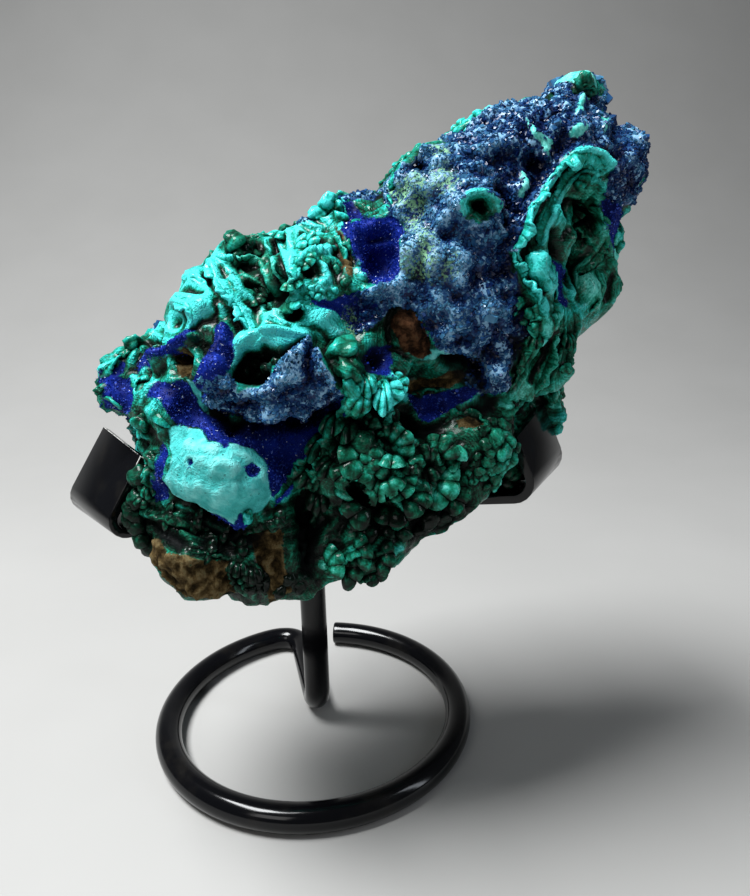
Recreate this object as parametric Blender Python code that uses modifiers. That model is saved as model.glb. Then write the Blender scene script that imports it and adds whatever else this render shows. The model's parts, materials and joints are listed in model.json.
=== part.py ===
"""An azurite and malachite specimen resting on a black ring stand.

The stand is one round steel bar, bent into an open ring, a spoke and an upright stem, with two
flat strap arms on top. Each arm ends in a hook, and the stone lies in the hooks. Sizes below are
in millimetres, with x to the right, y to the back and z up from the table at the ring's centre.
"""
import math

import bmesh
import bpy
from mathutils import Matrix, Vector

MM = 0.001

# Driving dimensions, in millimetres.
ROD_DIAMETER = 6.35
RING_RADIUS = 36.4
STRAP_WIDTH = 19.5
STRAP_THICKNESS = 1.6
STEM_TOP = 60.8
STONE_MID_DEPTH = -20.0
GAP = 0.3

# Where the ring's centre lies on the table, so that the whole thing stands centred on the origin.
RING_CENTRE = Vector((-10.6, 5.4, 0.0))

# The rod.
ROD_SIDES_RESOLUTION = 4
ROD_SIDES = 12
RING_FREE_END = 79.0
RING_BENT_END = -253.0
RING_STEP = 7.0
SPOKE_CORNER = Vector((-3.4, 34.4))
STEM_FOOT = Vector((0.8, 0.5))
SPOKE_BEND = 5.6
STEM_BEND = 6.6

# The arms: plan angle, then the corners of the strap's middle line as (reach, height), and the
# radius of the hook's bend.
ARMS = {
    "left_arm": (215.0, ((-9.0, 61.3), (51.4, 68.9), (41.6, 82.6)), 2.8),
    "right_arm": (-35.0, ((-9.0, 60.9), (57.3, 72.5), (51.9, 84.4)), 3.6),
}
# How far the cut of each free end runs out of square over the strap's width.
TIP_SLANT = 2.0
# The room that the stone leaves for a hook: round it, outside it, and beyond its free end.
ROOM = 0.9
ROOM_OUTSIDE = 14.0
ROOM_BEYOND = 4.5

# The stone: the corners (x, z) of its body at mid depth.
STONE_OUTLINE = (
    (-40.5, 90.0), (-36.5, 95.5), (-32.0, 100.0), (-27.0, 101.5), (-24.5, 107.0), (-22.0, 112.0),
    (-16.5, 115.0), (-12.0, 117.0), (-9.0, 120.0), (-5.5, 118.5), (-1.0, 121.5), (4.0, 122.5),
    (9.5, 127.0), (13.0, 128.0), (17.5, 127.0), (20.0, 131.0), (25.5, 135.0), (30.0, 138.0),
    (39.5, 141.5), (43.5, 144.0), (53.5, 146.5), (57.0, 142.5), (62.5, 139.5), (66.5, 135.5),
    (69.0, 131.5), (68.0, 125.5), (63.5, 123.0), (63.0, 117.0), (66.0, 109.0), (61.5, 103.5),
    (57.5, 100.5), (54.0, 94.0), (55.5, 88.0), (57.5, 84.0), (53.5, 78.0), (46.0, 72.0),
    (36.0, 68.0), (20.0, 65.0), (0.0, 64.0), (-20.0, 66.0), (-31.0, 70.0), (-35.0, 80.0),
    (-38.0, 85.0),
)
STONE_CENTRE = Vector((12.0, 97.0))
# Layers of the body from the front to the back: where each begins and ends in y from the mid
# depth, and its share of the outline.
STONE_LAYERS = (
    (-20.0, -12.0, 0.60),
    (-14.0, 5.0, 0.80),
    (-6.0, 3.0, 0.93),
    (2.0, 18.0, 0.90),
    (14.0, 25.0, 0.70),
)

# Lumps grown on the body: centre, then radii along x, y and z, then a turn about y in degrees.
LUMPS = {
    "pillow": ((-13.5, -41.0, 81.5), (10.0, 8.0, 7.5), 15),
    "pillow_foot": ((-9.0, -41.0, 76.5), (6.5, 7.0, 5.0), 0),
    "pillow_left": ((-19.0, -38.0, 78.5), (6.0, 6.5, 7.0), 0),
    "basin_rim": ((-21.5, -34.0, 92.0), (5.0, 7.0, 6.0), 0),
    "ledge": ((-1.5, -40.0, 97.0), (10.5, 8.5, 4.6), -6),
    "ledge_left": ((-10.5, -38.0, 98.5), (4.5, 8.0, 5.0), 30),
    "blades": ((8.5, -40.0, 93.0), (4.2, 7.0, 10.0), 25),
    "petals": ((12.0, -39.0, 79.5), (12.0, 8.0, 9.0), 0),
    "botryoids": ((30.0, -36.0, 81.5), (10.0, 7.5, 7.5), -20),
    "azurite_block": ((28.0, -35.0, 109.5), (12.0, 8.0, 16.0), 12),
    "azurite_shoulder": ((26.5, -31.0, 125.0), (9.0, 7.0, 8.0), 30),
    "azurite_head": ((45.0, -26.0, 131.0), (15.0, 9.0, 9.0), 10),
    "azurite_brow": ((59.5, -21.0, 130.0), (7.0, 8.0, 7.0), 0),
    "crest": ((53.5, -19.0, 142.5), (4.0, 4.5, 4.0), 0),
    "ribbon_top": ((51.0, -28.0, 128.5), (7.0, 4.0, 3.0), -35),
    "ribbon_middle": ((41.5, -32.0, 117.5), (3.0, 4.5, 9.0), 24),
    "ribbon_bubble": ((42.0, -33.0, 109.5), (3.4, 4.0, 6.0), -12),
    "ribbon_foot": ((46.0, -30.0, 95.0), (4.0, 5.0, 13.0), -10),
    "upper_left": ((-13.0, -30.0, 105.0), (11.0, 7.5, 7.0), -25),
    "upper_middle": ((2.0, -33.0, 109.0), (8.0, 7.0, 8.0), 0),
    "dark_knob": ((-9.0, -22.0, 116.5), (3.4, 4.0, 3.4), 0),
    "top_knob": ((9.0, -22.0, 122.5), (4.0, 5.0, 4.0), 0),
    "left_end": ((-31.5, -22.0, 93.0), (5.5, 8.0, 7.0), 0),
    "left_flank": ((-24.0, -31.0, 77.0), (6.5, 8.0, 9.0), 0),
    "left_knob": ((-28.0, -21.0, 98.5), (3.6, 4.6, 3.6), 0),
    "belly_left": ((-18.8, -39.5, 66.0), (9.0, 7.5, 7.5), 25),
    "belly_middle": ((-6.0, -38.0, 64.6), (12.0, 8.5, 8.6), 0),
    "belly_right": ((9.5, -38.0, 67.4), (9.0, 8.0, 7.4), 0),
    "heel": ((24.0, -36.0, 72.5), (9.0, 7.5, 6.0), -25),
    "back_crest": ((48.0, -9.0, 131.0), (13.0, 9.0, 9.0), 10),
    "back_high": ((33.0, 0.0, 117.0), (13.0, 11.0, 11.0), 40),
    "back_boss": ((11.0, 4.0, 106.0), (10.0, 9.0, 9.0), 20),
    "back_right": ((44.0, 0.0, 100.0), (9.0, 10.0, 12.0), 0),
    "back_middle": ((22.0, 3.0, 92.0), (11.0, 8.0, 8.0), 0),
    "back_low": ((-2.0, 2.0, 87.0), (11.0, 9.0, 10.0), 0),
    "back_left": ((-21.0, -6.0, 92.0), (11.0, 9.0, 10.0), -20),
    "back_foot": ((27.0, 0.0, 77.0), (12.0, 8.0, 6.0), -10),
}

# Hollows sunk into it, written the same way.
HOLLOWS = {
    "basin": ((-1.0, -47.5, 88.0), (10.5, 8.0, 4.2), -8),
    "basin_left": ((-16.5, -44.0, 93.0), (6.0, 7.0, 4.0), 30),
    "ledge_pit": ((-7.5, -47.0, 99.5), (3.0, 6.0, 2.6), 0),
    "vug": ((14.4, -42.0, 116.5), (4.4, 8.5, 5.6), 10),
    "under_block": ((22.0, -45.0, 92.5), (8.5, 8.5, 4.5), 15),
    "eye": ((-21.0, -39.0, 105.5), (3.6, 5.5, 3.6), 0),
    "gap": ((-4.0, -40.0, 109.5), (3.4, 7.0, 3.6), 30),
    "ribbon_hollow": ((51.5, -35.0, 116.0), (4.6, 10.0, 10.5), 10),
    "tube_hollow": ((35.6, -40.5, 127.5), (4.0, 6.5, 2.8), 0),
    "between_petals": ((2.0, -49.0, 74.0), (2.5, 7.0, 7.5), -15),
    "under_pillow": ((-13.0, -49.0, 69.5), (11.0, 5.5, 2.6), 8),
    "under_petals": ((14.0, -48.0, 69.5), (9.0, 5.0, 2.0), 0),
    "back_cleft": ((22.0, 12.0, 112.0), (2.6, 9.0, 17.0), 35),
    "back_pit": ((-6.0, 10.0, 95.0), (4.5, 6.0, 4.0), 20),
    "top_pit": ((22.0, -17.0, 137.0), (4.5, 5.0, 4.0), 0),
}

# Its one chimney: centre of the mouth, outer radius, bore radius and length, and how it leans.
CHIMNEY = ((29.2, -43.0, 123.8), 3.0, 1.7, 12.0)
CHIMNEY_LEAN = (math.radians(72), 0.0, math.radians(-8))

# The stone's surface: the lumps' own skin, then its roughness as (size, height), then how many
# faces it keeps.
LUMP_VOXEL = 1.8
SKIN_VOXEL = 1.2
SMOOTH_STEPS = 4
KNOBBLES = ((9.5, 3.4), (4.8, 2.0))
STONE_FACES = 8000


def mm(*values):
    """A vector given in millimetres from the ring's centre, as metres from the origin."""
    return (Vector(values) + RING_CENTRE) * MM


def clear_scene():
    for thing in list(bpy.data.objects):
        bpy.data.objects.remove(thing, do_unlink=True)


def make_collection(name):
    collection = bpy.data.collections.new(name)
    bpy.context.scene.collection.children.link(collection)
    return collection


def make_material(name, colour, roughness, metallic=0.0, coat=0.0):
    material = bpy.data.materials.new(name)
    material.use_nodes = True
    shader = material.node_tree.nodes["Principled BSDF"]
    shader.inputs["Base Color"].default_value = (*colour, 1.0)
    shader.inputs["Roughness"].default_value = roughness
    shader.inputs["Metallic"].default_value = metallic
    shader.inputs["Coat Weight"].default_value = coat
    material.diffuse_color = (*colour, 1.0)
    return material


def evaluated_mesh(thing):
    """The mesh of an object with its modifiers applied."""
    graph = bpy.context.evaluated_depsgraph_get()
    return bpy.data.meshes.new_from_object(thing.evaluated_get(graph), depsgraph=graph)


def arc(centre, radius, start, end, steps):
    """Points of an arc in plan, with the angles in degrees."""
    points = []
    for index in range(steps + 1):
        angle = math.radians(start + (end - start) * index / steps)
        points.append(centre + radius * Vector((math.cos(angle), math.sin(angle))))
    return points


def rounded_path(corners, radii, steps=6):
    """The corners as a path, with each inner corner bent to its radius."""
    path = [corners[0]]
    for before, corner, after, radius in zip(corners, corners[1:], corners[2:], radii):
        back = (before - corner).normalized()
        ahead = (after - corner).normalized()
        half = back.angle(ahead) / 2
        centre = corner + (back + ahead).normalized() * radius / math.sin(half)
        start = corner + back * radius / math.tan(half) - centre
        end = corner + ahead * radius / math.tan(half) - centre
        for index in range(steps + 1):
            spread = math.pi - 2 * half
            share = index / steps
            first = math.sin((1 - share) * spread) / math.sin(spread)
            second = math.sin(share * spread) / math.sin(spread)
            path.append(centre + start * first + end * second)
    path.append(corners[-1])
    return path


def poly_curve(name, points, collection, cyclic=False, flat=False):
    curve = bpy.data.curves.new(name, "CURVE")
    curve.dimensions = "2D" if flat else "3D"
    curve.fill_mode = "BOTH" if flat else "FULL"
    spline = curve.splines.new("POLY")
    spline.points.add(len(points) - 1)
    for point, place in zip(spline.points, points):
        point.co = (*place, 1.0)
    spline.use_cyclic_u = cyclic
    thing = bpy.data.objects.new(name, curve)
    collection.objects.link(thing)
    return thing


def as_mesh_object(thing, name, collection):
    """Replace a curve object by a mesh object with welded caps."""
    mesh = evaluated_mesh(thing)
    shape = bmesh.new()
    shape.from_mesh(mesh)
    bmesh.ops.remove_doubles(shape, verts=shape.verts, dist=0.00001)
    shape.to_mesh(mesh)
    shape.free()
    mesh.name = name
    place = thing.matrix_world.copy()
    bpy.data.objects.remove(thing, do_unlink=True)
    result = bpy.data.objects.new(name, mesh)
    result.matrix_world = place
    collection.objects.link(result)
    return result


def make_rod(collection, material):
    """The bar: round the ring, in along the spoke and up the stem, flat side down."""
    radius = ROD_DIAMETER / 2
    steps = round((RING_FREE_END - RING_BENT_END) / RING_STEP)
    ring = arc(Vector((0.0, 0.0)), RING_RADIUS, RING_FREE_END, RING_BENT_END, steps)
    ring = [Vector((*point, radius)) for point in ring]
    corners = [ring[-1], Vector((*SPOKE_CORNER, radius)), Vector((*STEM_FOOT, radius)),
               Vector((*STEM_FOOT, STEM_TOP))]
    bends = rounded_path(corners, (SPOKE_BEND, STEM_BEND))
    path = [mm(*point) for point in ring + bends[1:]]
    rod = poly_curve("stand_rod", path, collection)
    rod.data.bevel_depth = radius / math.cos(math.pi / ROD_SIDES) * MM
    rod.data.bevel_resolution = ROD_SIDES_RESOLUTION
    rod.data.use_fill_caps = True
    rod.data.twist_mode = "MINIMUM"
    for point in rod.data.splines[0].points:
        point.tilt = math.pi / ROD_SIDES
    rod = as_mesh_object(rod, "stand_rod", collection)
    rod.data.materials.append(material)
    return rod


def strap_outline(line, inner, outer):
    """The closed side outline of a strap whose middle line is given, offset to both sides."""
    sides = ([], [])
    for index, point in enumerate(line):
        before = line[max(index - 1, 0)]
        after = line[min(index + 1, len(line) - 1)]
        along = (after - before).normalized()
        across = Vector((-along.y, along.x))
        sides[0].append(point + across * inner)
        sides[1].append(point - across * outer)
    return sides[0] + sides[1][::-1]


def strap_prism(name, arm, inner, outer, width, beyond, collection):
    """A strap arm, or the room that it takes, standing in its own upright plane."""
    angle, corners, bend = ARMS[arm]
    root, corner, tip = [Vector(point) for point in corners]
    tip += (tip - corner).normalized() * beyond
    line = rounded_path([root, corner, tip], (bend,))
    outline = [point * MM for point in strap_outline(line, inner, outer)]
    prism = poly_curve(name, [(*point, 0.0) for point in outline], collection, cyclic=True, flat=True)
    prism.data.extrude = width / 2 * MM
    turn = Matrix.Rotation(math.radians(angle), 4, "Z") @ Matrix.Rotation(math.pi / 2, 4, "X")
    prism.matrix_world = Matrix.Translation(mm(*STEM_FOOT, 0.0)) @ turn
    bpy.context.view_layer.update()
    return as_mesh_object(prism, name, collection)


def make_arm(name, collection, cutters, material):
    """A strap arm, mitred against its twin above the stem, its free end cut a little slanting."""
    half = STRAP_THICKNESS / 2
    arm = strap_prism(name, name, half, half, STRAP_WIDTH, 0.0, collection)
    side = -1 if name.startswith("left") else 1
    bend, tip = [Vector((*corner, 0.0)) for corner in ARMS[name][1][1:]]
    leg = (tip - bend).normalized()
    for vertex in arm.data.vertices:
        if (vertex.co / MM - tip).dot(leg) > -GAP:
            back = -side * math.copysign(1.0, vertex.co.z)
            vertex.co += leg * back * TIP_SLANT / 2 * MM
    block = 60.0
    bpy.ops.mesh.primitive_cube_add(size=block * MM)
    cutter = bpy.context.object
    cutter.name = name + "_mitre"
    cutter.location = mm(STEM_FOOT.x - side * (block / 2 - GAP / 2), STEM_FOOT.y, STEM_TOP)
    move_to(cutter, cutters)
    cut = arm.modifiers.new("mitre", "BOOLEAN")
    cut.operation = "DIFFERENCE"
    cut.object = cutter
    arm.data.materials.append(material)
    return arm


def move_to(thing, collection):
    for old in list(thing.users_collection):
        old.objects.unlink(thing)
    collection.objects.link(thing)


def hide_cutter(thing):
    thing.hide_render = True
    thing.display_type = "WIRE"


def add_ball(name, centre, radii, turn, detail=3):
    bpy.ops.mesh.primitive_ico_sphere_add(subdivisions=detail, radius=1.0)
    ball = bpy.context.object
    ball.name = name
    ball.location = mm(*centre)
    ball.rotation_euler = (0.0, math.radians(turn), 0.0)
    ball.scale = [radius * MM for radius in radii]
    return ball


def add_layer(index, front, back, share):
    """One layer of the stone's body: its outline, shrunk about the middle and given a depth."""
    points = []
    for corner in STONE_OUTLINE:
        x, z = STONE_CENTRE + (Vector(corner) - STONE_CENTRE) * share
        points.append((x * MM, z * MM, 0.0))
    layer = poly_curve(f"layer_{index}", points, bpy.context.scene.collection, cyclic=True, flat=True)
    layer.data.extrude = (back - front) / 2 * MM
    place = mm(0.0, STONE_MID_DEPTH + (front + back) / 2, 0.0)
    layer.matrix_world = Matrix.Translation(place) @ Matrix.Rotation(math.pi / 2, 4, "X")
    bpy.context.view_layer.update()
    return as_mesh_object(layer, f"layer_{index}", bpy.context.scene.collection)


def join(things, name, collection):
    bpy.ops.object.select_all(action="DESELECT")
    for thing in things:
        thing.select_set(True)
    bpy.context.view_layer.objects.active = things[0]
    bpy.ops.object.join()
    result = bpy.context.object
    bpy.ops.object.transform_apply(location=True, rotation=True, scale=True)
    result.name = name
    move_to(result, collection)
    return result


def fuse(thing, voxel, smooth_steps):
    """Melt overlapping shapes into one skin."""
    remesh = thing.modifiers.new("fuse", "REMESH")
    remesh.mode = "VOXEL"
    remesh.voxel_size = voxel * MM
    smooth = thing.modifiers.new("soften", "SMOOTH")
    smooth.factor = 0.5
    smooth.iterations = smooth_steps


def roughen(thing, size, height):
    """Knobbly growth: rounded cells of about this size, standing this high."""
    texture = bpy.data.textures.new(f"knobbles_{size:.0f}mm", "VORONOI")
    texture.noise_scale = size * MM
    texture.distance_metric = "DISTANCE_SQUARED"
    texture.noise_intensity = 1.0
    displace = thing.modifiers.new("roughen", "DISPLACE")
    displace.texture = texture
    displace.texture_coords = "LOCAL"
    displace.strength = -height * MM
    displace.mid_level = 0.4


def combine(thing, other, operation):
    step = thing.modifiers.new(other.name, "BOOLEAN")
    step.operation = operation
    step.object = other
    step.use_self = operation == "DIFFERENCE"


def bake(thing):
    """Put what the modifiers make into the object's own mesh."""
    mesh = evaluated_mesh(thing)
    thing.modifiers.clear()
    thing.data = mesh


def thin_out(thing, faces):
    """Keep about this many faces where the surface bends most."""
    thing.data.calc_loop_triangles()
    decimate = thing.modifiers.new("thin_out", "DECIMATE")
    decimate.ratio = faces / len(thing.data.loop_triangles)


def make_chimney(cutters):
    """A short tube that grows out of the stone towards the front."""
    centre, outer, _, length = CHIMNEY
    bpy.ops.mesh.primitive_cone_add(vertices=20, radius1=outer * 1.4 * MM, radius2=outer * MM,
                                    depth=length * MM)
    tube = bpy.context.object
    tube.name = "chimney"
    tube.rotation_euler = CHIMNEY_LEAN
    tube.location = mm(*(Vector(centre) + Vector((0.0, length / 2, -0.8))))
    move_to(tube, cutters)
    return tube


def make_chimney_bore():
    centre, _, bore, length = CHIMNEY
    bpy.ops.mesh.primitive_cylinder_add(vertices=16, radius=bore * MM, depth=length * MM)
    cutter = bpy.context.object
    cutter.rotation_euler = CHIMNEY_LEAN
    cutter.location = mm(*centre)
    return cutter


def make_stone(collection, cutters, material):
    layers = [add_layer(index, *layer) for index, layer in enumerate(STONE_LAYERS)]
    lumps = [add_ball(name, *lump) for name, lump in LUMPS.items()]
    stone = join(layers + lumps, "azurite_malachite_rock", collection)
    fuse(stone, LUMP_VOXEL, SMOOTH_STEPS)
    hollows = [add_ball(name, *hollow) for name, hollow in HOLLOWS.items()]
    combine(stone, make_chimney(cutters), "UNION")
    combine(stone, join(hollows + [make_chimney_bore()], "stone_hollows", cutters), "DIFFERENCE")
    fuse(stone, SKIN_VOXEL, 1)
    for size, height in KNOBBLES:
        roughen(stone, size, height)
    bake(stone)
    for arm in ARMS:
        room = strap_prism(f"room_for_{arm}", arm, STRAP_THICKNESS / 2 + ROOM, ROOM_OUTSIDE,
                           STRAP_WIDTH + 2 * ROOM, ROOM_BEYOND, cutters)
        combine(stone, room, "DIFFERENCE")
    fuse(stone, SKIN_VOXEL, 0)
    bake(stone)
    thin_out(stone, STONE_FACES)
    stone.data.materials.clear()
    stone.data.materials.append(material)
    return stone


def main():
    clear_scene()
    parts = make_collection("azurite_specimen")
    cutters = make_collection("cutters")
    black = make_material("black_gloss_paint", (0.012, 0.012, 0.014), 0.22, coat=0.6)
    stone = make_material("azurite_and_malachite", (0.04, 0.22, 0.26), 0.7)
    make_rod(parts, black)
    for name in ARMS:
        make_arm(name, parts, cutters, black)
    make_stone(parts, cutters, stone)
    for cutter in cutters.objects:
        hide_cutter(cutter)


main()
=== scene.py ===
# %% [markdown]
# # Azurite and malachite on a ring stand
# A fist-sized piece of copper ore, about 133 mm along its length, is held by two strap
# arms over a bent ring of round bar. The stand is plain and glossy. The stone is the
# show: teal malachite in silky folds and grape-like lumps, deep blue velvety azurite in
# its hollows, and a block of coarse steel-blue azurite crystals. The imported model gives
# every solid its place and size, so this script only gives them their finish and the
# relief that is too fine for the solids.

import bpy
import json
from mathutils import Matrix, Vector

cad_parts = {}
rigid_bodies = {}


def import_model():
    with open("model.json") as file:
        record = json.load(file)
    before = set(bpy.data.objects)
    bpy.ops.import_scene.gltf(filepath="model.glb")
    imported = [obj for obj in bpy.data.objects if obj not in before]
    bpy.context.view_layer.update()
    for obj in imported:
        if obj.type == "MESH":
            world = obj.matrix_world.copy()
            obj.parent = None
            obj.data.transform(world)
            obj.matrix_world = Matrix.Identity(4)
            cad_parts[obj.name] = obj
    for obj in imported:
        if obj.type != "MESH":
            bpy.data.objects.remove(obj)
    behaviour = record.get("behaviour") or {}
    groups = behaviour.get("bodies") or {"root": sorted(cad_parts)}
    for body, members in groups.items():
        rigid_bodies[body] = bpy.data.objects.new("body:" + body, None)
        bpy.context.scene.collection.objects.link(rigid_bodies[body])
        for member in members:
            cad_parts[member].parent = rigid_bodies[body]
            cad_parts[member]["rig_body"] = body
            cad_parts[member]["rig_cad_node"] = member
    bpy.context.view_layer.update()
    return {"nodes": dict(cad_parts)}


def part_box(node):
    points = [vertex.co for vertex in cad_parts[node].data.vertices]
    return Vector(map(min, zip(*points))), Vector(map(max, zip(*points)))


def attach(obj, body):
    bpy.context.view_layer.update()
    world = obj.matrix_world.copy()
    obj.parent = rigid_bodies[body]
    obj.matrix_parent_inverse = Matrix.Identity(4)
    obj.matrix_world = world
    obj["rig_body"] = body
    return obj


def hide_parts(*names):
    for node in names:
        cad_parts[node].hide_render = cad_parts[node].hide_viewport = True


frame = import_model()
print("nodes:", sorted(frame["nodes"]))

# %% Tools of the script
import json
import math
import random
from contextlib import contextmanager

import bpy
import numpy as np
from mathutils import Matrix, Vector, noise
from mathutils.bvhtree import BVHTree

MM = 0.001
ROCK = "azurite_malachite_rock"
ARMS = ("left_arm", "right_arm")


def deselect():
    for obj in bpy.context.view_layer.objects:
        obj.select_set(False)


def only(obj):
    """Makes obj the one selected and active object."""
    deselect()
    obj.select_set(True)
    bpy.context.view_layer.objects.active = obj
    return obj


@contextmanager
def edit_mode(action=None):
    """Edit mode around some operators, after selecting or deselecting everything."""
    bpy.ops.object.mode_set(mode="EDIT")
    if action:
        bpy.ops.mesh.select_all(action=action)
    yield
    bpy.ops.object.mode_set(mode="OBJECT")


def unpick_mesh():
    """Leaves nothing selected in the active object's mesh."""
    with edit_mode("DESELECT"):
        pass


def copy_of(node, name):
    """A copy of a node with a mesh of its own, its loose triangles joined up."""
    only(frame["nodes"][node])
    bpy.ops.object.duplicate()
    piece = bpy.context.active_object
    piece.name = piece.data.name = name
    piece.parent = None
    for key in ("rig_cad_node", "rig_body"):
        if key in piece:
            del piece[key]
    with edit_mode("SELECT"):
        bpy.ops.mesh.remove_doubles(threshold=0.01 * MM)
    return piece


def modify(piece, kind, **settings):
    """Adds a modifier with these settings and applies it."""
    only(piece)
    modifier = piece.modifiers.new(kind.title(), kind)
    for key, value in settings.items():
        setattr(modifier, key, value)
    bpy.ops.object.modifier_apply(modifier=modifier.name)


def size_of(piece):
    triangles = sum(len(p.vertices) - 2 for p in piece.data.polygons)
    return f"{piece.name}: {len(piece.data.vertices)} points, {triangles} triangles"


# %% [markdown]
# ## The camera
# The camera stands a little above the stone and looks slightly down on it, close
# enough for the ring to show as an open oval. It comes first, because the finishes on
# the stone's face are laid out as the eye sees them from here.

# %% The camera
FRAME_WIDTH, FRAME_HEIGHT = 750, 896
LENS_PIXELS = 721.0
EYE = Vector((-10.6, -153.8, 119.5)) * MM
DOWN, ROLL, TURN = math.radians(16.59), math.radians(-1.31), math.radians(6.06)

forward = Vector((math.sin(TURN) * math.cos(DOWN), math.cos(TURN) * math.cos(DOWN), -math.sin(DOWN)))
level = Vector((math.cos(TURN), -math.sin(TURN), 0))
raised = level.cross(forward)
right = level * math.cos(ROLL) + raised * math.sin(ROLL)
upward = -level * math.sin(ROLL) + raised * math.cos(ROLL)
turned = Matrix((right, upward, -forward)).transposed().to_4x4()
bpy.ops.object.camera_add(location=EYE, rotation=turned.to_euler())
camera = bpy.context.active_object
camera.name = "camera"
camera.data.sensor_width = 36
camera.data.lens = LENS_PIXELS / FRAME_HEIGHT * camera.data.sensor_width
camera.data.clip_start = 0.001
bpy.context.scene.camera = camera
print("lens", round(camera.data.lens, 2), "mm")


def seen_at(points):
    """Where points fall in the camera's frame, across and down."""
    away = points - np.array(EYE)
    depth = away @ np.array(forward)
    across = FRAME_WIDTH / 2 + LENS_PIXELS * (away @ np.array(right)) / depth
    down = FRAME_HEIGHT / 2 - LENS_PIXELS * (away @ np.array(upward)) / depth
    return np.stack([across, down], 1)


def sight_line(across, down):
    """The direction in which the camera sees a place of its frame."""
    line = forward * LENS_PIXELS + right * (across - FRAME_WIDTH / 2) + upward * (FRAME_HEIGHT / 2 - down)
    return line.normalized()


# %% [markdown]
# ## Floor and lights
# A plain pale floor carries the stand. One large soft lamp hangs over and a little
# behind the stone, as a ceiling window would, so ledges catch light and hollows fall
# dark. A smaller one at the left front opens the shadows a little, and a narrow bright
# one gives the glossy bar its long highlights.

# %% The floor
FLOOR_SIZE, WALL_HEIGHT, WALL_CURVE = 3.0, 2.0, 0.6

deselect()
bpy.ops.mesh.primitive_plane_add(size=FLOOR_SIZE, location=(0, -0.7, 0))
floor = bpy.context.active_object
floor.name = "floor"
unpick_mesh()
for edge in floor.data.edges:
    edge.select = all(floor.data.vertices[i].co.y > 0 for i in edge.vertices)
with edit_mode():
    bpy.ops.mesh.select_mode(type="EDGE")
    bpy.ops.mesh.extrude_region_move(TRANSFORM_OT_translate={"value": (0, 0, WALL_HEIGHT)})
modify(floor, "BEVEL", width=WALL_CURVE, segments=24, limit_method="ANGLE")
only(floor)
bpy.ops.object.shade_smooth()
bpy.ops.object.transform_apply(location=True)

# %% The lights
ROOM_COLOUR = (0.86, 0.92, 1.0)
ROOM_LIGHT = 0.07
AIM = Vector((0.0, 0.0, 0.09))


def soft_light(name, place, width, height, watts, colour):
    deselect()
    place = Vector(place)
    turn = (AIM - place).to_track_quat("-Z", "Y").to_euler()
    bpy.ops.object.light_add(type="AREA", location=place, rotation=turn)
    lamp = bpy.context.active_object
    lamp.name = name
    lamp.data.shape = "RECTANGLE"
    lamp.data.size, lamp.data.size_y = width, height
    lamp.data.energy = watts
    lamp.data.color = colour


soft_light("over_light", (-0.26, -0.04, 0.68), 0.34, 0.26, 10.8, (0.97, 0.99, 1.0))
soft_light("front_light", (-0.40, -0.60, 0.50), 0.30, 0.30, 0.8, (1.0, 0.99, 0.97))
soft_light("side_light", (0.55, -0.25, 0.35), 0.08, 0.5, 0.8, (0.85, 0.92, 1.0))

world = bpy.data.worlds.new("room")
world.use_nodes = True
world.node_tree.nodes["Background"].inputs["Color"].default_value = (*ROOM_COLOUR, 1)
world.node_tree.nodes["Background"].inputs["Strength"].default_value = ROOM_LIGHT
bpy.context.scene.world = world
bpy.context.scene.view_settings.view_transform = "Standard"


# %% [markdown]
# ## A small language for finishes
# Every finish here is mixed from noises and masks. Written as plain sums, a mask such as
# `(noise - 0.4) * 6` is easy to read and to change, so one small class wraps a socket and
# turns each operator into a Math node.

# %% The wrapper for shader maths
class Value:
    """A socket that can be added, multiplied and compared as a number can."""

    def __init__(self, finish, socket):
        self.finish, self.socket = finish, socket

    def math(self, operation, *others):
        return self.finish.node("ShaderNodeMath", {"operation": operation}, self, *others)

    def __add__(self, other):
        return self.math("ADD", other)

    def __mul__(self, other):
        return self.math("MULTIPLY", other)

    __radd__, __rmul__ = __add__, __mul__

    def __sub__(self, other):
        return self.math("SUBTRACT", other)

    def __rsub__(self, other):
        return self.finish.node("ShaderNodeMath", {"operation": "SUBTRACT"}, other, self)

    def __abs__(self):
        return self.math("ABSOLUTE")

    def least(self, other):
        return self.math("MINIMUM", other)

    def most(self, other):
        return self.math("MAXIMUM", other)

    def between(self, low, high):
        """0 below low, 1 above high, and a smooth rise between them."""
        settings, sockets = {"interpolation_type": "SMOOTHSTEP"}, {"Value": self, "From Min": low, "From Max": high}
        return self.finish.node("ShaderNodeMapRange", settings, **sockets)


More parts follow.
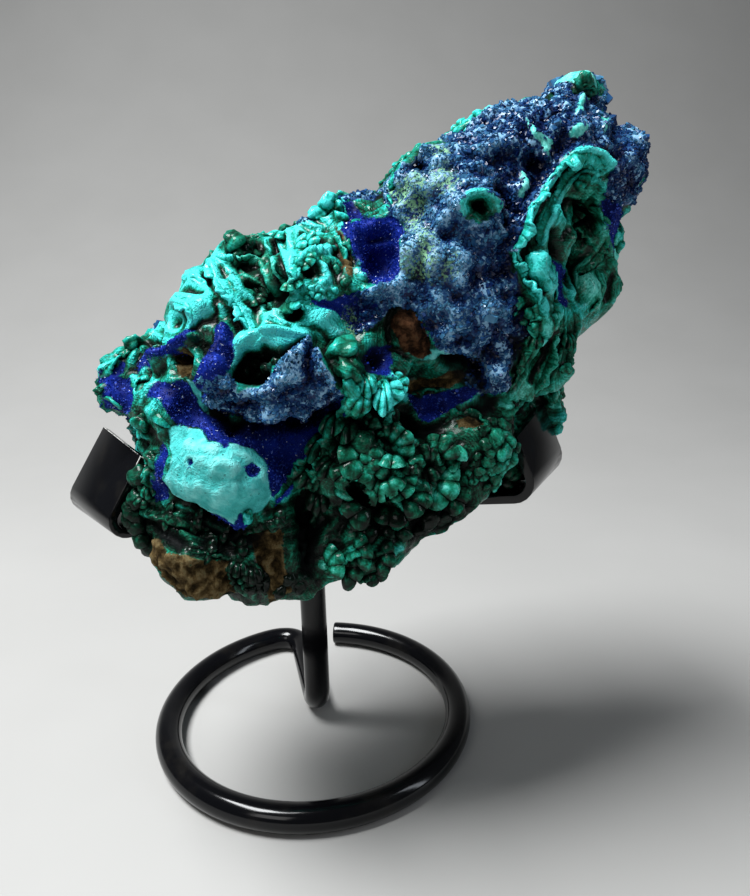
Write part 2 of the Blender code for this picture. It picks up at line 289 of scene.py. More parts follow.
class Finish:
    """A material that is written as expressions on its surface's places."""

    def __init__(self, name):
        self.material = bpy.data.materials.new(name)
        self.material.use_nodes = True
        self.nodes = self.material.node_tree.nodes
        self.links = self.material.node_tree.links
        self.shader = self.nodes["Principled BSDF"]
        place = self.node("ShaderNodeTexCoord", {}, output="Object")
        self.place = self.node("ShaderNodeVectorMath", {"operation": "SCALE"}, place, Scale=1 / MM)

    def node(self, kind, settings, *values, output=0, **named):
        """Any node: its settings first, then the values or links of its sockets."""
        made = self.nodes.new(kind)
        for key, value in settings.items():
            if key == "stops":
                self.set_stops(made.color_ramp, value)
            else:
                setattr(made, key, value)
        for key, value in [*enumerate(values), *named.items()]:
            if isinstance(value, Value):
                self.links.new(value.socket, made.inputs[key])
            else:
                made.inputs[key].default_value = value
        return Value(self, made.outputs[output])

    def set_stops(self, ramp, stops):
        while len(ramp.elements) > 1:
            ramp.elements.remove(ramp.elements[-1])
        ramp.elements[0].position, ramp.elements[0].color = stops[0][0], (*stops[0][1], 1)
        for position, colour in stops[1:]:
            ramp.elements.new(position).color = (*colour, 1)

    def noise(self, size, detail=2.0, rough=0.5, warp=0.0, place=None):
        """Cloudy noise from 0 to 1 whose patches are about size mm across."""
        values = {"Scale": 1 / size, "Detail": detail, "Roughness": rough, "Distortion": warp}
        return self.node("ShaderNodeTexNoise", {}, Vector=place or self.place, **values)

    def cells(self, size, feature="F1", output="Distance", place=None):
        """Grains about size mm across: the way to a grain's middle, or its own colour."""
        settings, place = {"feature": feature}, place or self.place
        return self.node("ShaderNodeTexVoronoi", settings, Vector=place, Scale=1 / size, output=output)

    def measured(self, name):
        """A number that the mesh carries at its points."""
        return self.node("ShaderNodeAttribute", {"attribute_name": name}, output="Fac")

    def ramp(self, value, stops):
        return self.node("ShaderNodeValToRGB", {"stops": stops}, value)

    def mix(self, share, below, above):
        """below where share is 0, above where it is 1. A colour is three numbers or a link."""
        below = below if isinstance(below, Value) else (*below, 1)
        above = above if isinstance(above, Value) else (*above, 1)
        made = self.nodes.new("ShaderNodeMix")
        made.data_type = "RGBA"
        for key, value in ((0, share), (6, below), (7, above)):
            if isinstance(value, Value):
                self.links.new(value.socket, made.inputs[key])
            else:
                made.inputs[key].default_value = value
        return Value(self, made.outputs[2])

    def wear(self, **sockets):
        """Puts values or links on the shader's own sockets."""
        for key, value in sockets.items():
            name = key.replace("_", " ")
            if isinstance(value, Value):
                self.links.new(value.socket, self.shader.inputs[name])
            else:
                self.shader.inputs[name].default_value = value

    def relief(self, height, depth, strength=1.0):
        """Bumps: height times depth, in mm."""
        settings = {"Strength": strength, "Distance": depth * MM, "Height": height}
        bump = self.node("ShaderNodeBump", {}, **settings)
        self.links.new(bump.socket, self.shader.inputs["Normal"])


def put_on(piece, finish):
    piece.data.materials.clear()
    piece.data.materials.append(finish.material)


# %% [markdown]
# The floor is smooth and pale with a faint mottle, so it stays in the background.

# %% The floor's finish
floor_finish = Finish("pale_floor")
mottle = floor_finish.noise(60, detail=3)
floor_colour = floor_finish.mix(mottle, (0.36, 0.355, 0.345), (0.40, 0.395, 0.385))
floor_finish.wear(Base_Color=floor_colour, Roughness=0.55)
put_on(floor, floor_finish)


# %% [markdown]
# ## The stand
# The stand is round steel bar, bent cold into an open ring with a spoke and a stem, and
# two straps of flat bar. All of it is dipped in glossy black paint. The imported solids
# have the right shape but flat facets. So the bar is copied, bevelled at its sawn ends
# and rounded by subdividing it twice, and each strap gets softly broken edges.

# %% The round bar
PAINT_SLOT, STONE_SLOT = "black_gloss_paint", "azurite_and_malachite"


def stands_for(piece, node, slot):
    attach(piece, "root")
    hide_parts(node)
    print(size_of(piece))


bar = copy_of("stand_rod", "smooth_bar")
with edit_mode("SELECT"):
    bpy.ops.mesh.tris_convert_to_quads(face_threshold=0.6, shape_threshold=0.9)
modify(bar, "BEVEL", width=0.5 * MM, segments=2, limit_method="ANGLE", angle_limit=math.radians(60))
modify(bar, "SUBSURF", levels=2, render_levels=2)
only(bar)
bpy.ops.object.shade_smooth()
stands_for(bar, "stand_rod", PAINT_SLOT)

# %% The strap arms
straps = []
for arm in ARMS:
    strap = copy_of(arm, "smooth_" + arm)
    modify(strap, "BEVEL", width=0.25 * MM, segments=3, limit_method="ANGLE", angle_limit=math.radians(40))
    only(strap)
    bpy.ops.object.shade_smooth_by_angle(angle=math.radians(35))
    stands_for(strap, arm, PAINT_SLOT)
    straps.append(strap)


def on_the_rounding(piece, width):
    """The points whose faces are all narrower than width mm: they lie on rounded edges."""
    kept = np.ones(len(piece.data.vertices), bool)
    for face in piece.data.polygons:
        corners = [piece.data.vertices[k].co for k in face.vertices]
        longest = max((a - b).length for a, b in zip(corners, corners[1:] + corners[:1]))
        if face.area / longest > width * MM:
            kept[list(face.vertices)] = False
    return kept


SAWN = {  # where the camera sees the sawn edges, across and down in turn
    "smooth_left_arm": [104, 427, 146, 461, 142, 465], "smooth_right_arm": [516, 441, 520, 440, 543, 407, 536, 404],
}

# %% [markdown]
# The straps meet in a mitre over the stem and are welded there. One bead runs along the
# mitre, with the ripples of a hand weld, and a second one runs round the stem's top. They
# are a rippled rod and a ring, and they close the hairline gaps that the solids keep.

# %% The weld
SEAM_BACK, SEAM_FRONT = Vector((-9.8, 17.0, 62.4)), Vector((-9.8, -5.5, 62.85))
SEAM_RADIUS, RIPPLE, RIPPLES = 1.15, 0.05, 15
STEM_END, COLLAR_RADIUS, COLLAR_BEAD = Vector((-9.8, 5.9, 61.15)), 2.75, 0.95

deselect()
bpy.ops.mesh.primitive_grid_add(x_subdivisions=14, y_subdivisions=46, size=1)
seam = bpy.context.active_object
for v in seam.data.vertices:
    turn, along = (v.co.x + 0.5) * 2 * math.pi, v.co.y + 0.5
    rounded_end = min(1.0, 12 * min(along, 1 - along) + 0.25)
    radius = SEAM_RADIUS * (1 + RIPPLE * math.sin(along * RIPPLES * 2 * math.pi)) * rounded_end
    v.co = (SEAM_BACK.lerp(SEAM_FRONT, along) + Vector((math.cos(turn), 0, math.sin(turn))) * radius) * MM
with edit_mode("SELECT"):
    bpy.ops.mesh.remove_doubles(threshold=0.02 * MM)
    bpy.ops.mesh.select_mode(type="EDGE")
    bpy.ops.mesh.select_all(action="DESELECT")
    bpy.ops.mesh.select_non_manifold()
    bpy.ops.mesh.edge_face_add()
    bpy.ops.mesh.select_all(action="SELECT")
    bpy.ops.mesh.normals_make_consistent(inside=False)
deselect()
bpy.ops.mesh.primitive_torus_add(
    location=STEM_END * MM, major_radius=COLLAR_RADIUS * MM, minor_radius=COLLAR_BEAD * MM,
    major_segments=32, minor_segments=12,
)
seam.select_set(True)
bpy.ops.object.join()
weld = bpy.context.active_object
weld.name = weld.data.name = "weld_beads"
bpy.ops.object.transform_apply()
bpy.ops.object.shade_smooth()
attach(weld, "root")
print(size_of(weld))

# %% [markdown]
# Fresh stove paint over steel is a deep black gloss. Up close it has a faint orange peel
# and a few dull rubbed patches, and where the strap ends were sawn, the paint has chipped
# from the corner and a hair of bright steel shows.

# %% The black paint
paint = Finish("black_gloss_paint_on_steel")
rubbed = paint.noise(9, detail=4, rough=0.6).between(0.5, 0.75)
chips = paint.measured("chipped") + (paint.noise(1.2, detail=3, rough=0.7) - 0.5) * 1.8
bare = chips.between(0.8, 0.95)
black = paint.mix(rubbed, (0.0025, 0.0026, 0.0034), (0.007, 0.0065, 0.006))
paint.wear(
    Base_Color=paint.mix(bare, black, (0.70, 0.69, 0.66)),
    Roughness=0.13 + rubbed * 0.10 + bare * 0.25,
    Specular_IOR_Level=0.28,
)
paint.relief(paint.noise(1.6, detail=2), 0.02, 0.25)
for piece in (bar, weld, *straps):
    put_on(piece, paint)

# %% [markdown]
# ## The stone's skin
# On the real stone, malachite grew first as silky sheets and balls, azurite lined the
# hollows later, and all of it is one crust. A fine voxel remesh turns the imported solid's
# facets into an even net, and the faces that look towards the show side are cut once
# more, because most of the fine relief is there.

# %% An even net over the stone
NET = 0.95 * MM

skin = copy_of(ROCK, "stone_skin")
modify(skin, "REMESH", mode="VOXEL", voxel_size=NET)
modify(skin, "SMOOTH", factor=0.5, iterations=4)
print(size_of(skin))


def read(items, name, kind=np.float32, wide=3):
    """One property of all points, edges or faces of a mesh, wide numbers each."""
    values = np.empty(len(items) * wide, kind)
    items.foreach_get(name, values)
    return values.reshape(-1, wide) if wide > 1 else values


def points_of(piece):
    return read(piece.data.vertices, "co").astype(float)


def outward(piece):
    """The direction that each point's skin faces."""
    return read(piece.data.vertex_normals, "vector").astype(float)


def ends_of(piece):
    """The two points of each edge."""
    return read(piece.data.edges, "vertices", np.int64, 2)


def with_neighbours(start, values, ends):
    """start plus the values of the points at the far ends of each point's edges."""
    total = start.copy()
    for near, far in ((0, 1), (1, 0)):
        np.add.at(total, ends[:, near], values[ends[:, far]])
    return total


def facing(places, normals):
    """1 where the skin faces the camera squarely, 0 edge on, below 0 behind."""
    towards = np.array(EYE) - places
    towards /= np.linalg.norm(towards, axis=1)[:, None]
    return (towards * normals).sum(1)


def smoothstep(value, low, high):
    share = np.clip((value - low) / (high - low), 0, 1)
    return share * share * (3 - 2 * share)


# %% Finer cuts on the show side
turned_to_eye = facing(points_of(skin), outward(skin)) > 0.05
only(skin)
with edit_mode():
    bpy.ops.mesh.select_mode(type="VERT")
    bpy.ops.mesh.select_all(action="DESELECT")
skin.data.vertices.foreach_set("select", turned_to_eye)
with edit_mode():
    bpy.ops.mesh.select_mode(type="FACE")
    bpy.ops.mesh.subdivide(number_cuts=1, smoothness=0.0)
modify(skin, "SMOOTH", factor=0.5, iterations=2)
print(size_of(skin))

# %% [markdown]
# ## Which mineral lies where
# The stone changes from one mineral to the next within a hair's breadth, so a soft
# painted mask would look airbrushed. Instead each mineral gets outlines, in the units of
# the camera's frame, and every point of the skin carries how many millimetres it lies
# inside them. The finish then cuts that number with a little noise, which gives edges
# finer than the mesh. Round the back, where no outline reaches, patches in space do it.
# An outline is written as a run of numbers: across and down of each corner in turn.
# The outlines called black are no mineral: they are painted shade in gaps, hollows and
# under overhangs, where the skin is also sunk a little.

# %% Outlines of the minerals on the show side
OUTLINES = {
    "velvet": {
        "basin": [146, 397, 152, 386, 158, 380, 172, 384, 186, 380, 193, 392, 203, 412, 232, 424, 270, 428,
            310, 420, 347, 397, 351, 412, 335, 424, 322, 434, 305, 455, 297, 477, 287, 494, 277, 503, 270, 488,
            268, 464, 255, 449, 238, 443, 209, 441, 203, 429, 176, 423, 163, 409, 160, 399],
        "column": [217, 326, 232, 329, 236, 345, 234, 358, 229, 370, 222, 381, 206, 394, 203, 380, 211, 368,
            215, 350],
        "left_ridge": [196, 330, 190, 347, 168, 357, 150, 371, 137, 374, 138, 363, 160, 352, 178, 341, 187, 330],
        "vug": [340, 203, 352, 200, 362, 216, 378, 218, 392, 214, 404, 226, 408, 242, 404, 270, 393, 286, 376, 288,
            360, 274, 353, 250, 345, 236],
        "strip": [305, 297, 318, 301, 334, 300, 347, 292, 360, 294, 366, 302, 378, 304, 384, 312, 372, 322,
            360, 326, 350, 325, 336, 312, 318, 306],
        "low_patch": [405, 393, 420, 398, 440, 392, 470, 387, 482, 392, 464, 402, 442, 415, 430, 421, 419, 417,
            412, 405],
        "cave": [370, 343, 392, 345, 396, 360, 392, 376, 374, 373, 360, 360],
        "left_end": [104, 378, 118, 376, 131, 378, 134, 400, 128, 413, 113, 414, 102, 402],
        "left_tip": [96, 384, 104, 372, 118, 366, 121, 358, 126, 362, 124, 372, 110, 381],
        "pillow_side": [162, 441, 168, 452, 163, 470, 160, 486, 166, 499, 157, 502, 150, 490, 156, 466],
        "under_pillow": [205, 512, 228, 532, 246, 531, 252, 520, 240, 514, 234, 526, 216, 514],
        "top_notch": [168, 284, 176, 287, 172, 300, 167, 296],
        "right_shade": [600, 201, 620, 200, 625, 213, 618, 236, 622, 262, 614, 250, 607, 224],
        "by_hollow": [556, 262, 564, 266, 563, 290, 570, 308, 560, 306, 554, 284],
        "pillow_hole_a": [247, 466, 253, 463, 259, 469, 257, 476, 250, 477, 246, 472],
        "pillow_hole_b": [188, 460, 193, 459, 194, 464, 190, 466],
        "pillow_hole_c": [221, 442, 228, 441, 229, 446, 223, 448],
    },
    "crystal": {
        "block": [383, 190, 396, 168, 416, 152, 428, 142, 448, 124, 476, 114, 502, 106, 516, 100, 534, 90, 552, 84,
            572, 84, 596, 94, 616, 104, 628, 110, 642, 133, 658, 158, 650, 174, 646, 196, 622, 206, 604, 198,
            610, 172, 600, 150, 578, 148, 560, 156, 550, 176, 538, 194, 526, 215, 518, 236, 507, 252, 512, 270,
            517, 290, 526, 304, 532, 330, 526, 352, 510, 374, 505, 392, 480, 396, 462, 384, 470, 362, 452, 356,
            436, 348, 428, 330, 416, 312, 396, 306, 380, 306, 366, 300, 350, 292, 368, 288, 392, 288, 404, 272,
            409, 242, 404, 224, 390, 212],
        "ledge": [205, 388, 214, 376, 230, 374, 238, 388, 262, 388, 268, 374, 280, 362, 294, 354, 304, 344,
            313, 351, 320, 364, 332, 379, 347, 397, 330, 405, 300, 412, 262, 418, 232, 413, 209, 408],
        "top_edge": [324, 202, 342, 188, 356, 182, 374, 190, 384, 190, 372, 199, 352, 200, 340, 202],
        "top_left_edge": [292, 222, 310, 213, 321, 209, 316, 222, 302, 227],
        "white_patch": [350, 300, 368, 294, 386, 300, 384, 314, 372, 330, 356, 333, 350, 322],
        "ball": [490, 352, 508, 350, 514, 370, 508, 392, 494, 394, 486, 374],
    },
    "mint": {
        "pillow": [167, 429, 180, 424, 203, 431, 209, 443, 238, 443, 255, 450, 268, 464, 273, 494, 263, 510,
            246, 514, 233, 529, 217, 517, 194, 503, 175, 497, 165, 480, 172, 460],
        "tongue": [187, 379, 199, 383, 205, 400, 206, 413, 198, 405, 192, 392],
        "ridge_patch": [418, 349, 452, 350, 466, 346, 466, 356, 440, 360, 420, 360],
    },
    "earth": {
        "belly": [146, 536, 160, 540, 166, 552, 188, 556, 204, 560, 232, 562, 236, 596, 200, 600, 168, 592,
            146, 566],
        "belly_right": [252, 540, 272, 526, 283, 528, 284, 560, 292, 590, 270, 602, 258, 574],
        "brown_pocket": [178, 352, 190, 347, 196, 360, 192, 378, 176, 376],
        "brown_sliver": [336, 228, 344, 236, 352, 262, 352, 278, 344, 272, 340, 250],
        "brown_top": [454, 131, 466, 129, 468, 138, 456, 140],
        "mossy": [400, 384, 414, 377, 434, 378, 456, 374, 470, 378, 452, 386, 430, 390, 410, 394],
        "brown_low": [454, 420, 466, 415, 482, 418, 484, 425, 470, 427, 458, 429],
    },
    "rust": {
        "rust_lump": [398, 312, 410, 309, 421, 318, 430, 338, 432, 354, 422, 360, 404, 352, 395, 338, 390, 322],
    },
    "dust": {
        "dust_g": [400, 176, 424, 168, 430, 196, 420, 212, 398, 208, 390, 194],
        "dust_h": [418, 226, 434, 230, 438, 262, 430, 284, 416, 276],
        "dust_a": [428, 140, 440, 136, 450, 150, 446, 160, 432, 158],
        "dust_b": [430, 168, 444, 163, 456, 172, 461, 184, 456, 192, 440, 192, 429, 184],
        "dust_c": [404, 214, 418, 212, 424, 226, 414, 236, 404, 230],
        "dust_d": [404, 252, 416, 250, 421, 264, 418, 278, 404, 274],
        "dust_e": [440, 262, 454, 256, 458, 276, 444, 280],
        "dust_f": [346, 310, 356, 318, 352, 334, 344, 328],
    },
    # black: painted shade, a near-black colour in gaps, hollows and under overhangs
    "black": {
        "hole_a": [409, 155, 416, 151, 423, 155, 425, 163, 419, 169, 411, 168, 407, 161],
        "hole_b": [524, 160, 532, 157, 540, 163, 537, 170, 527, 169],
        "under_ledge": [206, 408, 232, 416, 262, 421, 300, 415, 335, 406, 344, 404, 330, 418, 304, 428, 262, 432,
            232, 427, 210, 418],
        "ledge_cave": [234, 368, 244, 358, 258, 356, 272, 360, 268, 374, 262, 384, 246, 388, 234, 380],
        "under_block": [436, 366, 456, 361, 474, 354, 490, 344, 486, 360, 484, 378, 492, 396, 506, 398, 496, 412,
            476, 420, 464, 414, 480, 394, 462, 388, 448, 376],
        "block_side": [512, 338, 526, 332, 530, 350, 520, 374, 510, 392, 508, 372, 512, 354],
        "middle": [400, 410, 412, 420, 432, 424, 446, 420, 440, 438, 412, 436, 400, 426],
        "cave": [360, 344, 380, 340, 393, 350, 391, 368, 372, 377, 360, 366],
        "low_gap": [300, 502, 312, 496, 320, 520, 320, 560, 316, 580, 300, 574, 297, 540],
        "low_left": [186, 514, 210, 522, 232, 538, 258, 534, 270, 524, 262, 546, 232, 552, 206, 544, 186, 530],
        "fan_gap": [374, 482, 384, 498, 382, 530, 372, 536, 350, 530, 338, 516, 352, 516, 370, 512],
        "far_low": [412, 512, 436, 504, 470, 502, 474, 514, 444, 538, 414, 536],
        "over_balls": [352, 422, 366, 428, 352, 434, 346, 428],
        "tube_hollow": [490, 187, 508, 188, 528, 202, 520, 212, 502, 206],
        "ribbon_hollow": [552, 228, 562, 226, 568, 244, 564, 264, 554, 258],
        "leaf_gap": [566, 198, 582, 206, 590, 220, 576, 216, 566, 210],
        "silk_gap": [280, 280, 290, 282, 288, 300, 276, 308, 272, 300],
        "strata_gap": [150, 524, 176, 530, 188, 542, 176, 550, 158, 540],
        "left_low": [118, 418, 130, 432, 146, 446, 140, 456, 120, 440, 106, 424],
    },
    "drip": {
        "drip_a": [526, 123, 533, 126, 540, 132, 549, 138, 557, 141, 552, 147, 548, 156, 543, 152, 541, 141,
            533, 137],
        "drip_b": [519, 171, 525, 170, 527, 178, 529, 190, 523, 196, 519, 190, 522, 182],
        "drip_c": [578, 98, 585, 98, 584, 108, 580, 119, 574, 116, 576, 107],
        "drip_d": [566, 131, 576, 126, 588, 128, 584, 134, 576, 139, 569, 138],
        "drip_e": [598, 117, 606, 118, 610, 128, 604, 133, 600, 126],
        "crest": [510, 101, 522, 91, 538, 84, 556, 79, 570, 73, 582, 70, 592, 74, 597, 92, 590, 98, 582, 94,
            572, 82, 556, 87, 540, 90, 528, 96],
    },
}
print(sum(len(outlines) for outlines in OUTLINES.values()), "outlines")

# %% How far inside an outline
def corners_of(run):
    return np.array(run, float).reshape(-1, 2)


def from_side(spots, a, b):
    """How far each spot lies from the straight side between two corners."""
    along = np.clip(((spots - a) @ (b - a)) / max((b - a) @ (b - a), 1e-9), 0, 1)
    return np.linalg.norm(spots - a - along[:, None] * (b - a), axis=1)


def inside_by(spots, outline):
    """How far each spot lies inside a closed outline, in frame units, and below 0 outside."""
    corners = corners_of(outline)
    nearest = np.full(len(spots), np.inf)
    inside = np.zeros(len(spots), bool)
    for a, b in zip(corners, np.roll(corners, -1, axis=0)):
        nearest = np.minimum(nearest, from_side(spots, a, b))
        crosses = (a[1] > spots[:, 1]) != (b[1] > spots[:, 1])
        if a[1] != b[1]:
            reach = a[0] + (spots[:, 1] - a[1]) * (b[0] - a[0]) / (b[1] - a[1])
            inside ^= crosses & (spots[:, 0] < reach)
    return np.where(inside, nearest, -nearest)


def from_path(spots, path):
    """How far each spot lies from a line of points, in frame units."""
    corners = corners_of(path)
    if len(corners) == 1:
        return np.linalg.norm(spots - corners[0], axis=1)
    return np.min([from_side(spots, a, b) for a, b in zip(corners, corners[1:])], axis=0)


# %% Patches of the minerals on the sides and the back
BACK_PATCHES = {  # centre and reach in mm
    "crystal": [((42, 10, 128), 26), ((20, 18, 112), 13), ((50, -8, 140), 12), ((-8, 16, 98), 10), ((24, 8, 78), 9),
        ((-40, -8, 100), 7)],
    "velvet": [((4, 20, 108), 9), ((33, 14, 98), 8), ((-24, 12, 84), 9), ((-42, -16, 88), 6), ((10, 10, 70), 8)],
    "mint": [((-26, 12, 100), 9), ((22, 14, 92), 6)],
    "earth": [((-14, 10, 66), 14), ((-26, -10, 62), 12), ((6, 18, 84), 8), ((0, -6, 57), 9)],
    "rust": [((14, 18, 98), 6), ((-4, 10, 72), 6)],
    "dust": [((30, 20, 118), 7), ((46, 12, 112), 6)],
    # black: painted shade round the back as well
    "black": [((10, 20, 100), 5), ((-20, 14, 76), 5)],
    "drip": [((56, 4, 130), 5), ((38, 16, 140), 5), ((28, 20, 128), 4)],
}
UNIT = 0.175  # how many mm of the stone one unit of the frame shows
FAR = 8.0  # mm: beyond this it does not matter how far away an outline is


def noise_at(places, size, seed=0.0):
    """Smooth noise about size mm across, from -1 to 1, at places in mm."""
    shift = Vector((seed, seed * 1.7, -seed))
    return np.array([noise.noise(Vector(p) / size + shift) for p in places])


def lay_of(mineral, places, spots, shown):
    """How many mm each point lies inside a mineral's patches, from -FAR to FAR."""
    front = np.full(len(places), -FAR)
    for outline in OUTLINES[mineral].values():
        front = np.maximum(front, inside_by(spots, outline) * UNIT)
    back = np.full(len(places), -FAR)
    for centre, reach in BACK_PATCHES[mineral]:
        back = np.maximum(back, reach - np.linalg.norm(places - np.array(centre), axis=1))
    seed = len(mineral)
    back += 4.0 * noise_at(places, 9.0, seed) + 3.4 * noise_at(places, 3.4, seed + 40)
    return np.clip(front * shown + back * (1 - shown), -FAR, FAR)


def remember(piece, name, values):
    """Writes one number per point on the mesh, for the finish to read."""
    if name in piece.data.attributes:
        piece.data.attributes.remove(piece.data.attributes[name])
    piece.data.attributes.new(name, "FLOAT", "POINT")
    piece.data.attributes[name].data.foreach_set("value", np.asarray(values, np.float32))


places = points_of(skin)
shown = smoothstep(facing(places, outward(skin)), -0.12, 0.12)
squarely = smoothstep(facing(places, outward(skin)), 0.0, 0.40)
spots = seen_at(places)
lay = {mineral: lay_of(mineral, places / MM, spots, shown) for mineral in OUTLINES}
CHIMNEY, CHIMNEY_REACH = (478, 205), 17  # a tube of malachite stands out of the blue block here
off_chimney = (np.linalg.norm(spots - CHIMNEY, axis=1) - CHIMNEY_REACH) * UNIT
lay["crystal"] = np.where(shown > 0.5, np.minimum(lay["crystal"], off_chimney), lay["crystal"])
for mineral, values in lay.items():
    print(mineral, "covers", round(100 * (values > 0).mean()), "% of the points")

# %% [markdown]
# The same measure tells the paint where a strap end was sawn: the points on its rounded
# edge that lie along the cut are marked, and the paint shows broken there.

# %% Chips on the sawn ends
ROUNDING, NEAR_CUT = 0.2, 2.2  # mm, frame units

for strap in straps:
    seen = from_path(seen_at(points_of(strap)), SAWN[strap.name])
    chipped = on_the_rounding(strap, ROUNDING) & (seen < NEAR_CUT)
    remember(strap, "chipped", chipped)
    print(strap.name, chipped.sum(), "points on the sawn edge")

# %% [markdown]
# ## Folds, lumps and clefts
# A sculptor would now work over the skin with a few hundred brush strokes. The strokes
# are written down instead: each has a half width in frame units, a height in mm, which
# is below 0 for a cleft, and a tone, which is 0 for black green, 1 for the palest
# turquoise and None where the stroke leaves the green as it is. Then come across and
# down of each point of its path. A stroke of one point is a round lump or pit.
# The tones near 0 that most clefts and pits get are painted shade.

# %% The broad tones of the malachite
# The lowest tones lie in pits, caves and along the underside, and are painted shade.
TONES = [  # tone, then the outline in which it holds; a later one lies over an earlier one
    (0.75, 150, 335, 150, 322, 158, 306, 166, 290, 174, 280, 190, 274, 200, 263, 209, 252, 224, 250, 232, 262,
        246, 262, 258, 256, 264, 240, 284, 225, 300, 220, 320, 210, 338, 200, 352, 208, 345, 225, 338, 240,
        325, 262, 320, 285, 338, 300, 348, 318, 354, 345, 348, 368, 330, 352, 300, 342, 270, 348, 245, 356,
        232, 340, 200, 326, 176, 336),
    (0.36, 264, 244, 283, 240, 286, 290, 272, 286),
    (0.35, 230, 240, 243, 231, 257, 240, 264, 252, 250, 262, 234, 258),
    (0.22, 238, 266, 262, 260, 270, 278, 286, 276, 292, 296, 276, 314, 258, 300, 242, 290),
    (0.12, 304, 266, 318, 262, 322, 280, 306, 294, 298, 285),
    (0.45, 322, 240, 334, 232, 345, 262, 350, 290, 340, 296, 330, 270),
    (0.24, 88, 392, 96, 372, 112, 346, 130, 332, 150, 336, 160, 350, 140, 380, 150, 402, 170, 430, 160, 446,
        130, 440, 100, 425),
    (0.35, 100, 400, 130, 412, 160, 446, 130, 446, 100, 425),
    (0.46, 134, 372, 150, 366, 170, 366, 174, 378, 156, 380, 147, 396, 152, 404, 164, 414, 176, 424, 170, 436,
        154, 428, 140, 412, 133, 396),
    (0.4, 140, 446, 160, 446, 160, 500, 200, 512, 150, 522, 128, 512, 132, 480),
    (0.66, 148, 478, 160, 482, 172, 500, 196, 512, 178, 520, 150, 512),
    (0.2, 120, 500, 150, 520, 205, 514, 240, 534, 262, 530, 240, 560, 190, 556, 150, 545, 130, 530),
    (0.25, 228, 562, 256, 560, 262, 600, 236, 600),
    (0.28, 284, 498, 300, 470, 300, 520, 330, 520, 322, 590, 290, 596, 280, 540),
    (0.34, 300, 460, 322, 436, 350, 405, 352, 430, 336, 470, 300, 500, 286, 500),
    (0.55, 318, 330, 340, 330, 352, 350, 352, 368, 372, 390, 400, 385, 410, 396, 395, 425, 372, 430, 350, 412,
        340, 380),
    (0.36, 330, 455, 375, 450, 420, 430, 470, 430, 520, 425, 520, 480, 470, 500, 440, 500, 410, 520, 400, 540,
        375, 530, 340, 500),
    (0.15, 350, 420, 375, 420, 395, 428, 385, 440, 352, 440),
    (0.1, 404, 415, 440, 422, 436, 440, 412, 438),
    (0.12, 372, 480, 382, 500, 378, 530, 340, 520, 330, 500, 352, 500),
    (0.15, 410, 508, 440, 500, 475, 500, 472, 516, 440, 540, 412, 538),
    (0.42, 322, 560, 350, 542, 408, 540, 398, 570, 360, 582, 324, 578),
    (0.56, 560, 160, 604, 160, 616, 240, 630, 284, 600, 316, 574, 350, 560, 330, 566, 280, 556, 210),
    (0.32, 560, 190, 590, 205, 610, 260, 590, 262, 570, 240),
    (0.46, 606, 214, 622, 250, 632, 284, 610, 310, 604, 260),
    (0.72, 604, 165, 590, 150, 570, 153, 553, 170, 540, 192, 525, 215, 518, 236, 507, 250, 513, 268, 526, 290,
        536, 296, 552, 300, 556, 280, 548, 256, 543, 236, 552, 214, 562, 190, 584, 172),
    (0.66, 514, 292, 536, 296, 545, 330, 552, 360, 540, 400, 508, 420, 500, 398, 522, 366, 530, 330),
    (0.60, 552, 300, 572, 300, 574, 350, 572, 410, 552, 412, 542, 396, 556, 350),
    (0.5, 505, 425, 520, 420, 522, 470, 500, 485, 484, 470, 486, 440),
]

